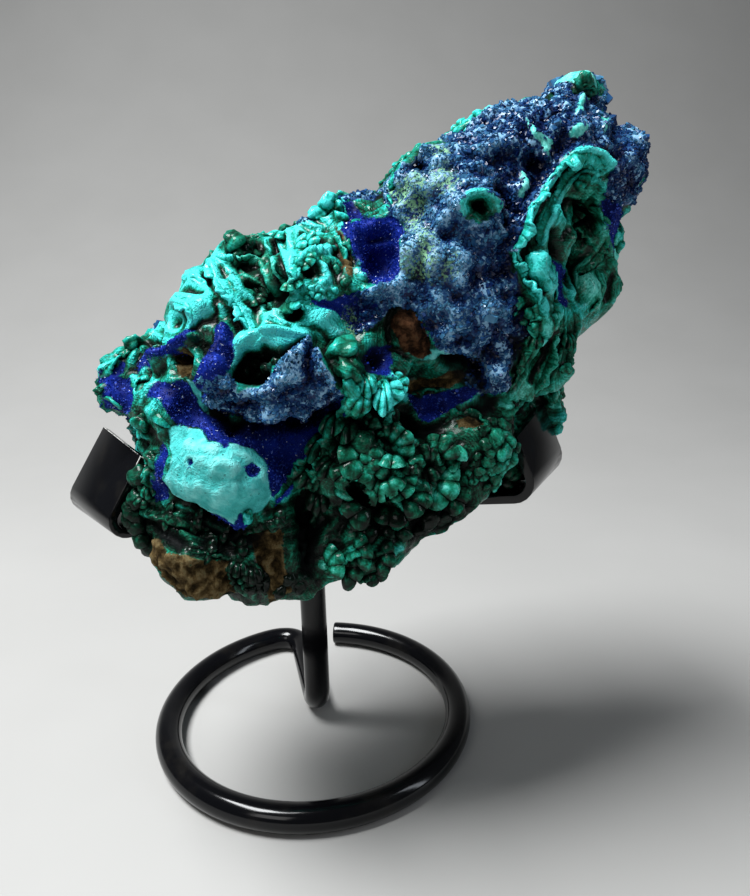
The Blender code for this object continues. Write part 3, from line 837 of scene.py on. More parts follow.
# %% The strokes
STROKES = [  # half width, height, tone, then the path
    # the silky folds of the upper left
    (15, -1.5, 0.80, 172, 321), (5, -0.5, 0.66, 170, 322),
    (3, 0.35, 0.95, 163, 322, 166, 315, 173, 312, 180, 316, 182, 323, 178, 330, 170, 331, 164, 327),
    (5, 0.9, 0.9, 152, 328, 153, 314, 162, 303, 174, 300, 187, 305, 194, 318, 190, 331, 180, 340, 166, 341,
        155, 335),
    (3, -0.45, 0.6, 158, 327, 160, 315, 171, 307, 182, 310, 188, 321, 183, 333, 170, 336, 160, 332),
    (5, 1.3, 0.95, 205, 254, 212, 268, 220, 284, 232, 298, 243, 312, 250, 328),
    (3.5, -1.2, 0.25, 202, 266, 209, 284, 220, 300, 234, 315, 240, 330),
    (5, 1.0, 0.9, 216, 258, 228, 274, 240, 288, 252, 302, 266, 314, 286, 322),
    (3, -0.9, 0.35, 222, 270, 238, 293, 256, 312), (12, 1.2, 0.85, 203, 304), (8, 0.9, 0.88, 222, 306),
    (3, -0.8, 0.3, 214, 298, 217, 312, 212, 322), (4, 0.8, 0.92, 176, 284, 190, 279, 203, 284, 214, 294),
    (3, -0.8, 0.35, 176, 292, 190, 288, 202, 292), (4, 0.8, 0.85, 165, 298, 178, 294, 192, 296),
    (3, -0.7, 0.3, 192, 334, 202, 322, 216, 322), (8, 1.2, 0.42, 238, 243), (7, 1.0, 0.38, 250, 246),
    (6, 1.0, 0.34, 243, 256), (4, 0.5, 0.3, 232, 250), (4, 1.1, 0.9, 232, 262, 246, 263, 258, 260),
    (4, 1.0, 0.88, 228, 276, 236, 284, 240, 296), (2.5, 1.4, 0.55, 240, 272, 254, 280, 268, 292),
    (2.5, 1.2, 0.5, 243, 288, 258, 296, 272, 306), (2.5, 1.3, 0.6, 262, 264, 268, 280, 276, 296),
    (4, -2.2, 0.05, 248, 282, 262, 290), (5, -3.0, 0.03, 280, 280, 284, 300),
    (3, 1.0, 0.75, 268, 242, 272, 258, 280, 276, 284, 290), (3, 1.0, 0.85, 277, 236, 284, 254, 290, 274, 292, 292),
    (3, 1.2, 0.98, 288, 230, 292, 250, 291, 268, 295, 286), (2.5, -0.9, 0.3, 273, 240, 279, 258, 287, 280),
    (4, 1.5, 0.92, 298, 232, 304, 246, 318, 250, 332, 252), (3, 1.2, 0.88, 302, 256, 300, 272, 296, 290),
    (3, -1.4, 0.15, 302, 240, 316, 243, 328, 246), (4, 1.0, 0.85, 276, 228, 292, 224, 306, 226, 318, 230),
    (14, 1.6, 0.72, 329, 208), (6, -2.6, 0.1, 329, 213), (3, 0.8, 0.9, 316, 212, 320, 202, 332, 198, 344, 204),
    (6, -3.0, 0.02, 310, 272), (3, 1.0, 0.8, 322, 262, 330, 274, 336, 290), (7, 1.0, 0.9, 311, 288),
    (3, -0.8, 0.45, 311, 288), (7, 1.0, 0.9, 325, 284), (3, -0.8, 0.5, 325, 284), (6, 0.9, 0.85, 335, 291),
    (4, 0.8, 0.85, 318, 298), (4, 0.8, 0.82, 306, 300), (10, -3.5, 0.0, 291, 312, 296, 311),
    (4, 1.2, 0.75, 279, 312, 286, 302, 298, 300, 306, 308), (14, 1.4, 0.84, 322, 320, 330, 332),
    (3, -0.5, 0.35, 312, 326, 322, 332, 330, 344), (3, 0.5, 0.82, 326, 312, 336, 324, 342, 342),
    (9, 2.2, 1.1, 240, 350, 248, 341, 262, 336, 284, 334, 302, 338),
    (5, 1.4, 1.15, 238, 356, 250, 350, 266, 344, 286, 341, 306, 342), (3, -0.5, 0.6, 256, 330, 270, 327, 290, 328),
    (3, 0.6, 0.85, 266, 316, 276, 300, 282, 318),
    # the left end
    (10, 1.6, 0.62, 120, 342), (8, 1.4, 0.6, 136, 342), (7, 1.2, 0.5, 108, 354), (6, 1.0, 0.55, 146, 352),
    (7, 1.2, 0.6, 96, 392), (6, 1.0, 0.6, 94, 408), (3, 0.9, 0.72, 98, 374, 106, 366, 116, 360),
    (4, 1.0, 0.6, 132, 360, 138, 352), (9, 1.2, 0.62, 142, 386), (4, -1.0, 0.4, 142, 386),
    (3, 0.7, 0.9, 134, 378, 144, 374, 152, 380), (6, 0.9, 0.8, 150, 410), (5, 1.0, 0.7, 140, 424),
    (5, 0.9, 0.5, 126, 424), (3, -1.2, 0.08, 112, 416, 128, 432, 148, 442),
    (3, 1.0, 0.62, 122, 416, 132, 430, 146, 438), (4, -1.0, 0.1, 104, 418, 112, 424), (5, 1.0, 0.5, 150, 460),
    (5, 1.0, 0.55, 148, 478), (3, 1.0, 0.6, 135, 486, 146, 494, 150, 508),
    (3, 0.9, 0.5, 122, 506, 134, 512, 148, 516), (8, 1.2, 0.5, 140, 544), (6, 1.0, 0.45, 134, 530),
    (11, -1.4, 0.25, 205, 352), (3, 0.9, 0.5, 194, 350, 200, 364, 212, 364, 216, 352), (8, -3.4, 0.05, 184, 358),
    # velvet ridges
    (7, 2.4, None, 192, 338, 178, 347, 162, 358, 146, 367), (8, 2.6, None, 224, 332, 226, 350, 219, 366, 212, 380),
    # the ledge and the caves above it
    (6, 1.6, None, 208, 394, 222, 402, 244, 408, 266, 410, 296, 408, 324, 399, 342, 390),
    (7, -3.2, None, 212, 416, 236, 427, 266, 431, 300, 428, 330, 417), (7, 2.6, None, 304, 350, 300, 362, 290, 372),
    (5, 1.6, None, 318, 362, 330, 378, 340, 388), (5, 1.4, None, 226, 384, 246, 392, 270, 392),
    (10, -5.5, 0.0, 246, 374, 254, 378), (5, -2.4, 0.05, 304, 346, 286, 350, 266, 354, 248, 360),
    (8, 2.6, None, 284, 372, 294, 362, 303, 352), (7, 2.0, None, 276, 384, 296, 378),
    # the pillow
    (12, 0.9, None, 200, 462, 226, 466), (9, 0.8, None, 190, 448, 214, 452), (10, 0.7, None, 250, 490, 258, 474),
    (5, -1.3, None, 252, 470), (2.6, -0.8, None, 191, 463), (2.4, -0.8, None, 225, 444),
    (9, 0.5, None, 232, 492, 216, 500), (5, -2.2, 0.12, 160, 486, 172, 502, 194, 509, 214, 524, 232, 536),
    (3, 1.0, 0.7, 247, 518), (3, 0.8, 0.55, 270, 498, 284, 500, 296, 488),
    # the dark layers below the pillow
    (3, 1.2, 0.35, 150, 512, 170, 514, 192, 520, 212, 530, 232, 540),
    (3, -1.4, 0.03, 140, 522, 170, 524, 200, 532, 226, 546), (3, 1.0, 0.3, 180, 532, 206, 540, 236, 548, 256, 546),
    (3, -1.2, 0.05, 186, 548, 216, 552, 246, 552), (3, 0.9, 0.35, 262, 520, 276, 514, 290, 508),
    (3, 1.0, 0.35, 230, 566, 240, 580, 244, 594), (3, 0.9, 0.3, 248, 562, 254, 578, 252, 594),
    (4, -1.2, 0.05, 262, 566, 266, 588),
    # the leafy blades right of the basin
    (2.5, 1.4, 0.62, 346, 410, 336, 428, 331, 446, 326, 462, 314, 478, 298, 492),
    (2.5, -1.2, 0.1, 351, 416, 342, 434, 338, 452, 332, 468), (2.5, 1.2, 0.5, 356, 414, 348, 432, 346, 450),
    (2.5, 1.0, 0.45, 320, 436, 314, 456, 302, 474, 292, 490), (3, 1.2, 0.75, 344, 396, 352, 404, 350, 414),
    (3, 1.0, 0.4, 310, 486, 318, 500, 316, 520), (3, -1.6, 0.03, 300, 500, 306, 524, 302, 550),
    (4, -2.2, 0.02, 312, 512, 314, 540, 310, 562),
    # the blade column in the middle
    (9, 1.4, 0.6, 338, 352, 346, 366, 352, 378), (9, 1.6, 0.86, 352, 388, 356, 392), (9, 1.6, 0.72, 353, 406),
    (4, 1.2, 0.9, 362, 382, 372, 378, 374, 390), (7, 2.0, 0.85, 381, 398, 384, 412, 387, 422),
    (3, 1.6, 0.98, 384, 386, 392, 394, 408, 396), (3, 1.4, 0.9, 392, 376, 400, 386, 406, 400),
    (3, 1.4, 0.85, 398, 402, 404, 396), (4, -1.8, 0.05, 370, 392, 372, 412), (5, -2.6, 0.02, 400, 416, 412, 424),
    (5, -2.4, 0.02, 352, 424, 362, 428),
    # balls, fans and petals of the lower right
    (11, 1.8, 0.32, 365, 444), (6, 1.4, 0.45, 373, 424), (5, 1.2, 0.4, 369, 434), (4, 1.0, 0.55, 381, 432),
    (4, 1.6, 0.66, 340, 474, 348, 462, 362, 460, 371, 470), (4, 1.2, 0.72, 348, 484, 352, 472, 354, 462),
    (4, 1.2, 0.66, 360, 484, 364, 474), (4, 1.3, 0.6, 338, 490, 350, 494, 366, 488, 372, 478),
    (5, -2.2, 0.03, 378, 478, 380, 500, 376, 516), (6, 1.5, 0.5, 346, 510, 360, 508, 372, 503),
    (5, 1.3, 0.42, 350, 524, 362, 522), (4, 1.6, 0.85, 376, 458, 386, 462, 396, 458),
    (4, 1.4, 0.7, 386, 462, 392, 470, 398, 474), (3, 1.2, 0.55, 374, 462, 380, 474, 392, 478),
    (4, 1.5, 0.85, 392, 434, 400, 440, 410, 444), (4, 1.2, 0.75, 396, 446, 404, 456),
    (3, -1.6, 0.05, 410, 456, 404, 468), (6, 1.4, 0.5, 414, 462), (5, 1.2, 0.5, 430, 448, 434, 460),
    (6, 1.6, 0.66, 446, 446), (5, 1.4, 0.7, 458, 452), (5, 1.4, 0.62, 454, 464), (5, 1.2, 0.5, 440, 460),
    (3, -1.2, 0.1, 449, 456, 446, 468), (8, 1.6, 0.9, 446, 482, 458, 484), (6, 1.3, 0.7, 466, 494, 454, 498),
    (4, -1.8, 0.05, 436, 494, 440, 504), (4, 1.6, 0.78, 388, 484, 394, 496, 404, 508),
    (4, 1.4, 0.8, 402, 490, 414, 496, 428, 498), (4, 1.3, 0.6, 420, 484, 428, 490),
    (4, 1.4, 0.6, 408, 508, 420, 506, 432, 502), (10, 1.4, 0.5, 398, 524), (5, 1.2, 0.45, 402, 538),
    (10, 1.2, 0.22, 430, 522), (9, 1.2, 0.25, 456, 512), (4, -1.5, 0.03, 414, 514, 424, 508, 446, 506),
    (4, 1.4, 0.75, 326, 566, 342, 556, 356, 548), (3, 1.1, 0.6, 330, 576, 350, 568, 372, 560, 392, 552),
    (3, 1.1, 0.7, 366, 548, 382, 552, 398, 546), (3, -1.2, 0.1, 336, 568, 356, 560, 376, 556),
    (4, 1.0, 0.5, 350, 576, 372, 572, 390, 562),
    # the ribbon and what it wraps
    (6, 2.6, 0.8, 604, 166, 596, 155, 584, 151, 570, 154, 557, 167, 547, 182, 536, 198, 526, 216, 519, 236,
        510, 250, 514, 266, 522, 280, 532, 292, 540, 304, 546, 324, 549, 342),
    (2.5, -1.2, 0.4, 592, 160, 576, 161, 562, 174, 550, 192, 540, 208, 532, 226, 526, 244),
    (3, 1.4, 0.85, 600, 174, 586, 170, 572, 180, 562, 194, 554, 212, 547, 228, 542, 244),
    (11, 2.4, 0.9, 531, 262, 540, 276), (8, 1.6, 0.85, 546, 288), (3, -0.8, 0.3, 523, 262, 530, 280, 540, 296),
    (2.5, 1.2, 0.85, 546, 256, 552, 274, 556, 294), (10, -5.0, 0.0, 560, 232, 557, 246, 560, 262),
    (3, 1.6, 0.7, 562, 262, 568, 276, 572, 296), (3, 1.2, 0.6, 576, 272, 578, 288),
    (3, 1.4, 0.6, 578, 182, 592, 178, 600, 184), (3, 1.2, 0.5, 566, 196, 582, 202, 598, 212, 610, 224),
    (3, -1.4, 0.05, 566, 206, 580, 214, 588, 226), (3, 1.2, 0.5, 568, 222, 582, 226, 592, 238),
    (3, 1.2, 0.5, 606, 232, 596, 250, 584, 264, 574, 272), (3, -1.2, 0.1, 604, 252, 594, 266, 582, 274),
    (10, 1.0, 0.72, 586, 284), (3, 1.0, 0.6, 600, 276, 604, 294, 596, 306),
    (3, 1.1, 0.45, 612, 262, 622, 276, 618, 294), (4, -1.2, 0.06, 610, 276, 606, 300),
    # the thin sheets below the ribbon
    (2.5, 1.3, 0.7, 536, 306, 540, 326, 536, 346, 526, 364),
    (2.5, 1.2, 0.66, 552, 306, 554, 330, 548, 354, 540, 376, 532, 394),
    (2.5, -1.4, 0.08, 546, 312, 547, 336, 541, 358, 530, 380),
    (2.5, 1.2, 0.6, 562, 306, 564, 330, 557, 356, 552, 380), (2.5, -1.2, 0.15, 558, 312, 558, 336, 550, 362),
    (2.5, 1.1, 0.55, 524, 340, 520, 360, 506, 382), (2.5, 1.1, 0.5, 530, 352, 524, 374, 510, 396),
    (5, 1.3, 0.5, 520, 302), (5, 1.2, 0.55, 528, 314), (5, 1.1, 0.5, 534, 326), (6, 1.2, 0.5, 566, 370),
    (3, 1.0, 0.45, 556, 364, 552, 384, 556, 398), (3, 1.0, 0.6, 500, 404, 512, 408, 522, 402),
    (3, -1.2, 0.06, 516, 410, 530, 398, 538, 384),
    # the crystal block
    (6, -4.5, None, 416, 162), (9, -5.5, None, 496, 191, 510, 196, 522, 208), (8, -3.0, None, 533, 164, 541, 168),
    (6, -2.0, None, 498, 208, 504, 222), (8.5, -5.0, 0.02, 476, 203, 480, 205),
    (4.5, 1.6, 0.66, 463, 212, 459, 203, 463, 194, 472, 190, 483, 190, 491, 196, 494, 206),
    (3.5, 1.8, 0.5, 491, 200, 496, 214, 503, 230), (4, 1.0, 0.3, 466, 216, 476, 221, 488, 220),
    (10, 1.6, None, 500, 371), (9, -4.5, None, 378, 352, 384, 362), (7, -2.5, None, 440, 362, 462, 360, 478, 372),
    (8, 1.6, None, 408, 326, 414, 340), (4, -1.4, None, 392, 314, 388, 330, 394, 346, 410, 358),
    (7, 1.8, None, 368, 290, 384, 291, 398, 284, 408, 268, 410, 244), (17, -3.4, None, 378, 236, 382, 262),
    (8, 1.6, None, 378, 244), (5, -1.6, None, 372, 262, 390, 262), (4, 1.6, None, 354, 226, 354, 250, 364, 276),
    (9, 1.0, None, 620, 166), (8, 1.0, None, 606, 124), (6, -1.6, None, 602, 196, 616, 204),
    (3, -1.0, None, 552, 118, 560, 108), (7, 1.2, 0.3, 584, 84), (4, 0.8, 0.95, 528, 124, 538, 133, 550, 142),
    (3, 0.7, 0.95, 522, 174, 525, 190), (3, 0.8, 0.95, 581, 100, 578, 114),
    (3, 1.0, 0.95, 512, 100, 528, 89, 546, 83, 566, 76),
]
print(len(STROKES), "strokes")

# %% [markdown]
# Between the strokes the skin still needs its grain. Malachite is creased like crumpled
# silk, so it gets noise folded at zero, which makes sharp crests and round valleys.
# Azurite crystals are heaped grains, so they get cells. Velvet and the pale pillow are
# nearly smooth, and the brown iron crust is lumpy.

# %% Relief of each mineral
# Three noises, each read a way aside from the others, push a place along X, Y and Z, so
# that the folds wander.
ASIDE = [Vector((9.3, -1.5, -7.9)), Vector((0, 0, 0)), Vector((-2.3, 3.9, 5.1))]


def creased_at(places, size, seed):
    """Sheets of crumpled silk about size mm across: 1 on a crest, 0 in a valley."""
    found = []
    for p in places:
        q = Vector(p) / size + Vector((seed, -seed, seed * 2))
        q += 0.7 * Vector(noise.noise(q * 0.8 + way) for way in ASIDE)
        found.append(1 - min(1.0, 2.4 * abs(noise.noise(q))))
    return np.array(found)


def heaped_at(places, size, seed):
    """Rounded grains about size mm across: 1 on a grain's top, 0 between grains."""
    found = []
    for p in places:
        ways, _ = noise.voronoi(Vector(p) / size + Vector((seed, seed, -seed)))
        found.append(min(1.0, ways[1] - ways[0]))
    return np.array(found)


def share(mineral, low=-0.3, high=0.5):
    return smoothstep(lay[mineral], low, high)


SILKY = [  # where the malachite is drawn out smooth like folded silk
    [150, 345, 148, 322, 158, 302, 174, 278, 200, 260, 210, 250, 228, 262, 244, 290, 262, 306, 268, 326, 240, 344,
        220, 330, 190, 344, 168, 348],
    [236, 350, 240, 334, 262, 322, 300, 322, 316, 308, 336, 306, 352, 340, 352, 370, 334, 360, 300, 345, 262, 346],
    [262, 240, 284, 226, 300, 222, 300, 250, 296, 296, 278, 290, 270, 262],
    [612, 165, 592, 146, 566, 150, 545, 178, 520, 214, 506, 250, 516, 284, 540, 304, 558, 298, 552, 240, 566, 196,
        592, 178],
    [572, 262, 604, 262, 606, 300, 580, 304], [338, 350, 366, 350, 372, 400, 366, 420, 348, 420],
    [436, 474, 470, 476, 470, 498, 440, 498],
]
mm_places = places / MM
silky = np.max([smoothstep(inside_by(spots, outline), -4, 4) for outline in SILKY], axis=0) * squarely
others = np.max([share(mineral) for mineral in lay if mineral != "black"], axis=0)
malachite = 1 - others
fine = 0.35 * noise_at(mm_places, 1.5, 61.0) + 0.5 * noise_at(mm_places, 3.6, 67.0)
calm = smoothstep(noise_at(mm_places, 9.0, 21.0), -0.25, 0.35) * (1 - 0.5 * squarely)
relief = malachite * calm * (
    1.7 * (creased_at(mm_places, 7.0, 3.1) - 0.45) + 0.7 * (creased_at(mm_places, 2.8, 8.4) - 0.45)
)
relief += malachite * fine * (1 - 0.8 * silky)
relief += share("crystal") * (
    1.2 * noise_at(mm_places, 6.0, 2.0) + 1.5 * noise_at(mm_places, 2.8, 4.0)
    + 0.4 * heaped_at(mm_places, 1.7, 5.0)
)
relief += share("velvet") * (
    0.5 * noise_at(mm_places, 3.2, 6.0) - 0.35 + 1.8 * (1 - shown) * noise_at(mm_places, 4.6, 16.0)
)
relief += share("mint") * (
    (0.22 + 1.4 * (1 - shown)) * noise_at(mm_places, 5.0, 7.0) + 0.26 * noise_at(mm_places, 1.6, 17.0)
)
relief += np.maximum(share("earth"), share("rust")) * (
    1.1 * noise_at(mm_places, 4.5, 9.0) + 0.8 * noise_at(mm_places, 1.9, 1.0)
    + 0.7 * (creased_at(mm_places, 3.2, 14.0) - 0.5)
)
relief += share("drip") * (0.5 + 0.3 * noise_at(mm_places, 1.5, 3.0)) - share("black", -1.5, 1.5) * 1.6
print("grain from", round(relief.min(), 2), "to", round(relief.max(), 2), "mm")

# %% The tones and the strokes
SHADES = [  # how much darker, and where: light is scarce under overhangs, and the green turns emerald there
    (0.06, 284, 512, 300, 470, 326, 440, 346, 400, 372, 416, 400, 410, 440, 420, 500, 408, 530, 400, 526, 480,
        470, 500, 440, 530, 400, 550, 320, 552, 284, 540),
    (0.10, 110, 500, 150, 505, 204, 514, 240, 534, 270, 512, 290, 512, 330, 548, 400, 545, 405, 580, 300, 610,
        220, 610, 130, 560),
    (0.16, 400, 500, 440, 494, 484, 484, 480, 520, 440, 548, 400, 552, 380, 530),
    (0.00, 562, 180, 600, 190, 620, 240, 628, 290, 600, 312, 576, 300, 560, 250),
    (0.14, 250, 572, 300, 560, 322, 590, 300, 610, 240, 606),
    (0.00, 505, 320, 560, 310, 576, 350, 572, 410, 500, 412),
    (0.12, 232, 232, 256, 232, 292, 280, 292, 320, 262, 316, 240, 276),
]


def shade_at(spots):
    """How much darker the malachite is at these spots, and how far it turns emerald."""
    weights = [smoothstep(inside_by(spots, outline), -6, 6) for _, *outline in SHADES]
    darker = sum(amount * weight for (amount, *_), weight in zip(SHADES, weights))
    return darker, np.max(weights, axis=0)


tone = 0.42 + 0.5 * noise_at(mm_places, 11.0, 12.0) + 0.2 * noise_at(mm_places, 4.0, 13.0)
for target, *outline in TONES:
    weight = smoothstep(inside_by(spots, outline), -3, 3) * shown
    tone += weight * (target - tone)
shade, emerald = (values * shown for values in shade_at(spots))
tone -= shade
wander = np.stack([noise_at(mm_places, 5.0, 31.0), noise_at(mm_places, 5.0, 37.0)], 1) * 6.0
wander += np.stack([noise_at(mm_places, 1.8, 41.0), noise_at(mm_places, 1.8, 47.0)], 1) * 1.6
vigour = 1.0 + 0.6 * noise_at(mm_places, 4.0, 51.0)
FULL_HALF_WIDTH = 5  # strokes finer than this stray and stand out less
NO_FOLD = 40.0  # frame units: as far as the way to the next fold is counted
ridges, clefts, fold = np.zeros(len(places)), np.zeros(len(places)), np.full(len(places), NO_FOLD)
for half_width, height, target, *path in STROKES:
    broad, weight = half_width * (1.6 if height > 0 else 1.1), min(1.0, half_width / FULL_HALF_WIDTH)
    near = from_path(spots + wander * (weight * (1 - 0.6 * silky))[:, None], path) / broad
    bump = smoothstep(1 - near, 0, 1) * squarely * vigour * weight
    if height > 0:
        ridges = np.maximum(ridges, height * bump)
        fold = np.minimum(fold, near * broad)
    else:
        clefts = np.minimum(clefts, height * bump)
    if target is not None:
        tone += smoothstep(1.3 - near, 0, 0.8) * squarely * 0.85 * (target - tone)
relief += ridges + clefts

# %% Raising the relief
# The left strap's end stands before the stone, so the skin nearer than NEAR_SKIN keeps to
# the right of the line EDGE_ACROSS, EDGE_DOWN. It is pushed by PUSHED units at most.
EDGE_DOWN, EDGE_ACROSS = [442, 450, 461, 474, 487, 502], [122, 137, 149, 141, 131, 122]
NEAR_SKIN, PUSHED = 0.140, 14

lowest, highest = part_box(ROCK)
lowest, highest = np.array(lowest), np.array(highest)
moved = np.clip(places + outward(skin) * relief[:, None] * MM, lowest, highest)
across, down = seen_at(moved).T
depth = (moved - np.array(EYE)) @ np.array(forward)
by_the_strap = (down > EDGE_DOWN[0]) & (down < EDGE_DOWN[-1]) & (depth < NEAR_SKIN)
past_edge = np.clip(np.interp(down, EDGE_DOWN, EDGE_ACROSS) - across, 0, PUSHED)
too_far = np.where(by_the_strap, past_edge, 0) * smoothstep(down, *EDGE_DOWN[:2])
moved += (too_far * depth / LENS_PIXELS)[:, None] * np.array(right)
skin.data.vertices.foreach_set("co", moved.astype(np.float32).ravel())
skin.data.update()
modify(skin, "SMOOTH", factor=0.35, iterations=1)
only(skin)
bpy.ops.object.shade_smooth()
print("relief from", round(relief.min(), 1), "to", round(relief.max(), 1), "mm")

# %% [markdown]
# The finish paints the crests paler, partly the pale rims of the folds and partly painted
# highlight, and the clefts darker, as painted shade, so the mesh also tells it how far
# each point stands out from the skin around it.

# %% How far each point stands out
def stands_out(piece, rounds):
    """How far each point lies above the mean of its neighbourhood, in mm."""
    places, ends = points_of(piece), ends_of(piece)
    count = np.bincount(ends.ravel(), minlength=len(places))[:, None]
    flat = places
    for _ in range(rounds):
        flat = with_neighbours(np.zeros_like(flat), flat, ends) / count
    return ((places - flat) * outward(piece)).sum(1) / MM


crest = np.clip(stands_out(skin, 3) * 9, -1, 1)
hollow = np.clip(stands_out(skin, 24) * 1.6, -1, 1)
fold = fold * shown + NO_FOLD * (1 - shown)
carried = {**lay, "tone": tone, "emerald": emerald, "crest": crest, "fold": fold, "hollow": hollow}
for name, values in carried.items():
    remember(skin, name, values)
stands_for(skin, ROCK, STONE_SLOT)
for name in ("crest", "hollow"):
    print(name, np.round(np.percentile(carried[name], (5, 50, 95)), 2))

# %% [markdown]
# ## The finish of the stone
# One finish holds all the minerals, because they meet in one crust. It starts from
# malachite, whose green runs from nearly black to pale turquoise, with the faint growth
# bands that the mineral is known for, and lays each other mineral over it through its
# own mask. A mask is the distance to the outline plus a little noise.

# %% The stone's masks and malachite
GREENS = [
    (0.0, (0.0008, 0.004, 0.002)), (0.2, (0.0015, 0.020, 0.011)), (0.42, (0.003, 0.080, 0.045)),
    (0.62, (0.006, 0.220, 0.150)), (0.82, (0.018, 0.440, 0.385)), (1.0, (0.075, 0.760, 0.730)),
]
EMERALDS = [
    (0.0, (0.0006, 0.004, 0.002)), (0.2, (0.0015, 0.021, 0.011)), (0.42, (0.004, 0.080, 0.042)),
    (0.62, (0.010, 0.210, 0.125)), (0.82, (0.045, 0.420, 0.300)), (1.0, (0.170, 0.720, 0.580)),
]
stone = Finish("azurite_and_malachite_crust")
rough_edge = (stone.noise(1.1, detail=4, rough=0.65) - 0.5) * 1.6 + (stone.noise(3.5, detail=2) - 0.5) * 1.6


def covered(mineral, ragged=1.0, sharp=0.16):
    return (stone.measured(mineral) + rough_edge * ragged).between(-sharp, sharp)


def folds(noises, sharp):
    """1 where a noise crosses its middle and 0 away from there: thin winding crests."""
    return (1 - abs(noises - 0.5) * sharp).most(0.0)


def malachite_of(finish, tone):
    """Malachite's colour at a tone from 0 to 1, and the height of its silk, wrinkles and bands."""
    silk = finish.noise(1.2, detail=5, rough=0.6, warp=1.5)
    waves = (finish.noise(7, detail=2, warp=0.8) * 26 + finish.noise(2, detail=1) * 2) * 3.0
    strands = finish.measured("fold") * 2.1 + finish.noise(2.2, detail=3, rough=0.6) * 9
    bands, threads = waves.math("SINE"), strands.math("SINE")
    wrinkles = folds(finish.noise(2.6, detail=3, rough=0.6, warp=1.2), 9) * 0.6
    wrinkles = wrinkles + folds(finish.noise(1.1, detail=2, rough=0.5, warp=0.8), 8) * 0.4
    green = (tone - 0.5) * 1.15 + 0.42 + (silk - 0.5) * 0.30
    # Paler along the crests of the wrinkles: painted highlight on the fine relief.
    green = green + bands * 0.04 + threads * 0.065 + (wrinkles - 0.25) * 0.26
    emerald = (finish.measured("emerald") * 0.55 + finish.noise(9, detail=2) - 0.5).between(0.0, 0.9)
    colour = finish.mix(emerald, finish.ramp(green, GREENS), finish.ramp(green, EMERALDS))
    return colour, silk * 0.45 + wrinkles * 0.9 + bands * 0.06 + threads * 0.12


crests, hollows, opened = (stone.measured(name) for name in ("crest", "hollow", "open"))
silk = stone.noise(1.2, detail=5, rough=0.6, warp=1.5)
# Paler on crests, darker in hollows and where little open air is seen: painted highlight and painted shade, beside
# the pale rims of the folds
malachite_tone = stone.measured("tone") + crests * 0.14 + hollows.least(0.0) * 0.3 + (opened - 0.82) * 0.75
malachite_colour, malachite_height = malachite_of(stone, malachite_tone)

# %% Azurite velvet and azurite crystals
def one_of(colour, channel):
    return stone.node("ShaderNodeSeparateColor", {}, colour, output=channel)


pile_glint = one_of(stone.cells(0.34, output="Color"), "Red")
velvet_depth = stone.noise(5, detail=2).between(0.3, 0.7)
velvet_colour = stone.mix(velvet_depth, (0.001, 0.004, 0.060), (0.005, 0.020, 0.240))
# Painted glints: the palest cells of the pile are painted bright blue.
velvet_colour = stone.mix(pile_glint.between(0.90, 0.99) * 0.7, velvet_colour, (0.06, 0.12, 0.65))
grain = one_of(stone.cells(0.8, output="Color"), "Green")
fine_grain = one_of(stone.cells(0.3, output="Color"), "Blue")
patchy = stone.noise(4.5, detail=4, rough=0.6)
steel = grain * 0.45 + fine_grain * 0.25 + patchy * 0.55
# Paler on crests and where the skin stands out, darker in hollows and where little open air is seen: painted
# highlight and painted shade
steel = steel + hollows * 0.2 + crests * 0.15 + (opened - 0.85) * 0.6 + 0.03
crystal_colour = stone.ramp(steel, [
    (0.20, (0.0008, 0.002, 0.014)), (0.45, (0.003, 0.012, 0.065)), (0.66, (0.012, 0.046, 0.160)),
    (0.84, (0.040, 0.125, 0.260)), (1.0, (0.220, 0.420, 0.620)),
])

# %% The pillow, the iron crust, the dust and the drips
pores = stone.cells(1.6, output="Distance").between(0.03, 0.16)
mint_folds = folds(stone.noise(2.4, detail=4, rough=0.6, warp=0.6), 8)
mint_height = pores * 0.7 + stone.noise(0.7, detail=4, rough=0.65) * 1.1 + mint_folds * 0.55
mint_tone = stone.noise(9, detail=4) * 0.6 + stone.noise(1.0, detail=4, rough=0.65) * 0.42 - 0.06
# Paler on crests, where the skin stands out and along the folds, darker in hollows: painted highlight and painted
# shade
mint_tone = mint_tone + hollows * 0.15 + crests * 0.10 + mint_folds * 0.06
mint_colour = stone.ramp(mint_tone, [
    (0.2, (0.020, 0.270, 0.250)), (0.5, (0.070, 0.530, 0.515)), (0.8, (0.230, 0.760, 0.740)),
])
mint_colour = stone.mix((1 - pores) * 0.6, mint_colour, (0.02, 0.16, 0.14))
rubble = stone.noise(0.9, detail=6, rough=0.8)
# Paler on crests: painted highlight
earth_tone = rubble + stone.noise(4, detail=3) * 0.3 - 0.13 + crests * 0.14
earth_colour = stone.ramp(earth_tone, [
    (0.28, (0.008, 0.006, 0.003)), (0.44, (0.042, 0.028, 0.011)), (0.58, (0.100, 0.066, 0.026)),
    (0.70, (0.190, 0.140, 0.066)), (0.8, (0.035, 0.075, 0.040)),
])
# Paler on crests: painted highlight
rust_colour = stone.ramp(rubble + crests * 0.1, [
    (0.32, (0.004, 0.003, 0.002)), (0.5, (0.040, 0.018, 0.009)), (0.66, (0.130, 0.056, 0.026)),
    (0.8, (0.04, 0.07, 0.045)),
])
drip_colour = stone.mix(silk.between(0.35, 0.65), (0.04, 0.44, 0.38), (0.20, 0.74, 0.66))

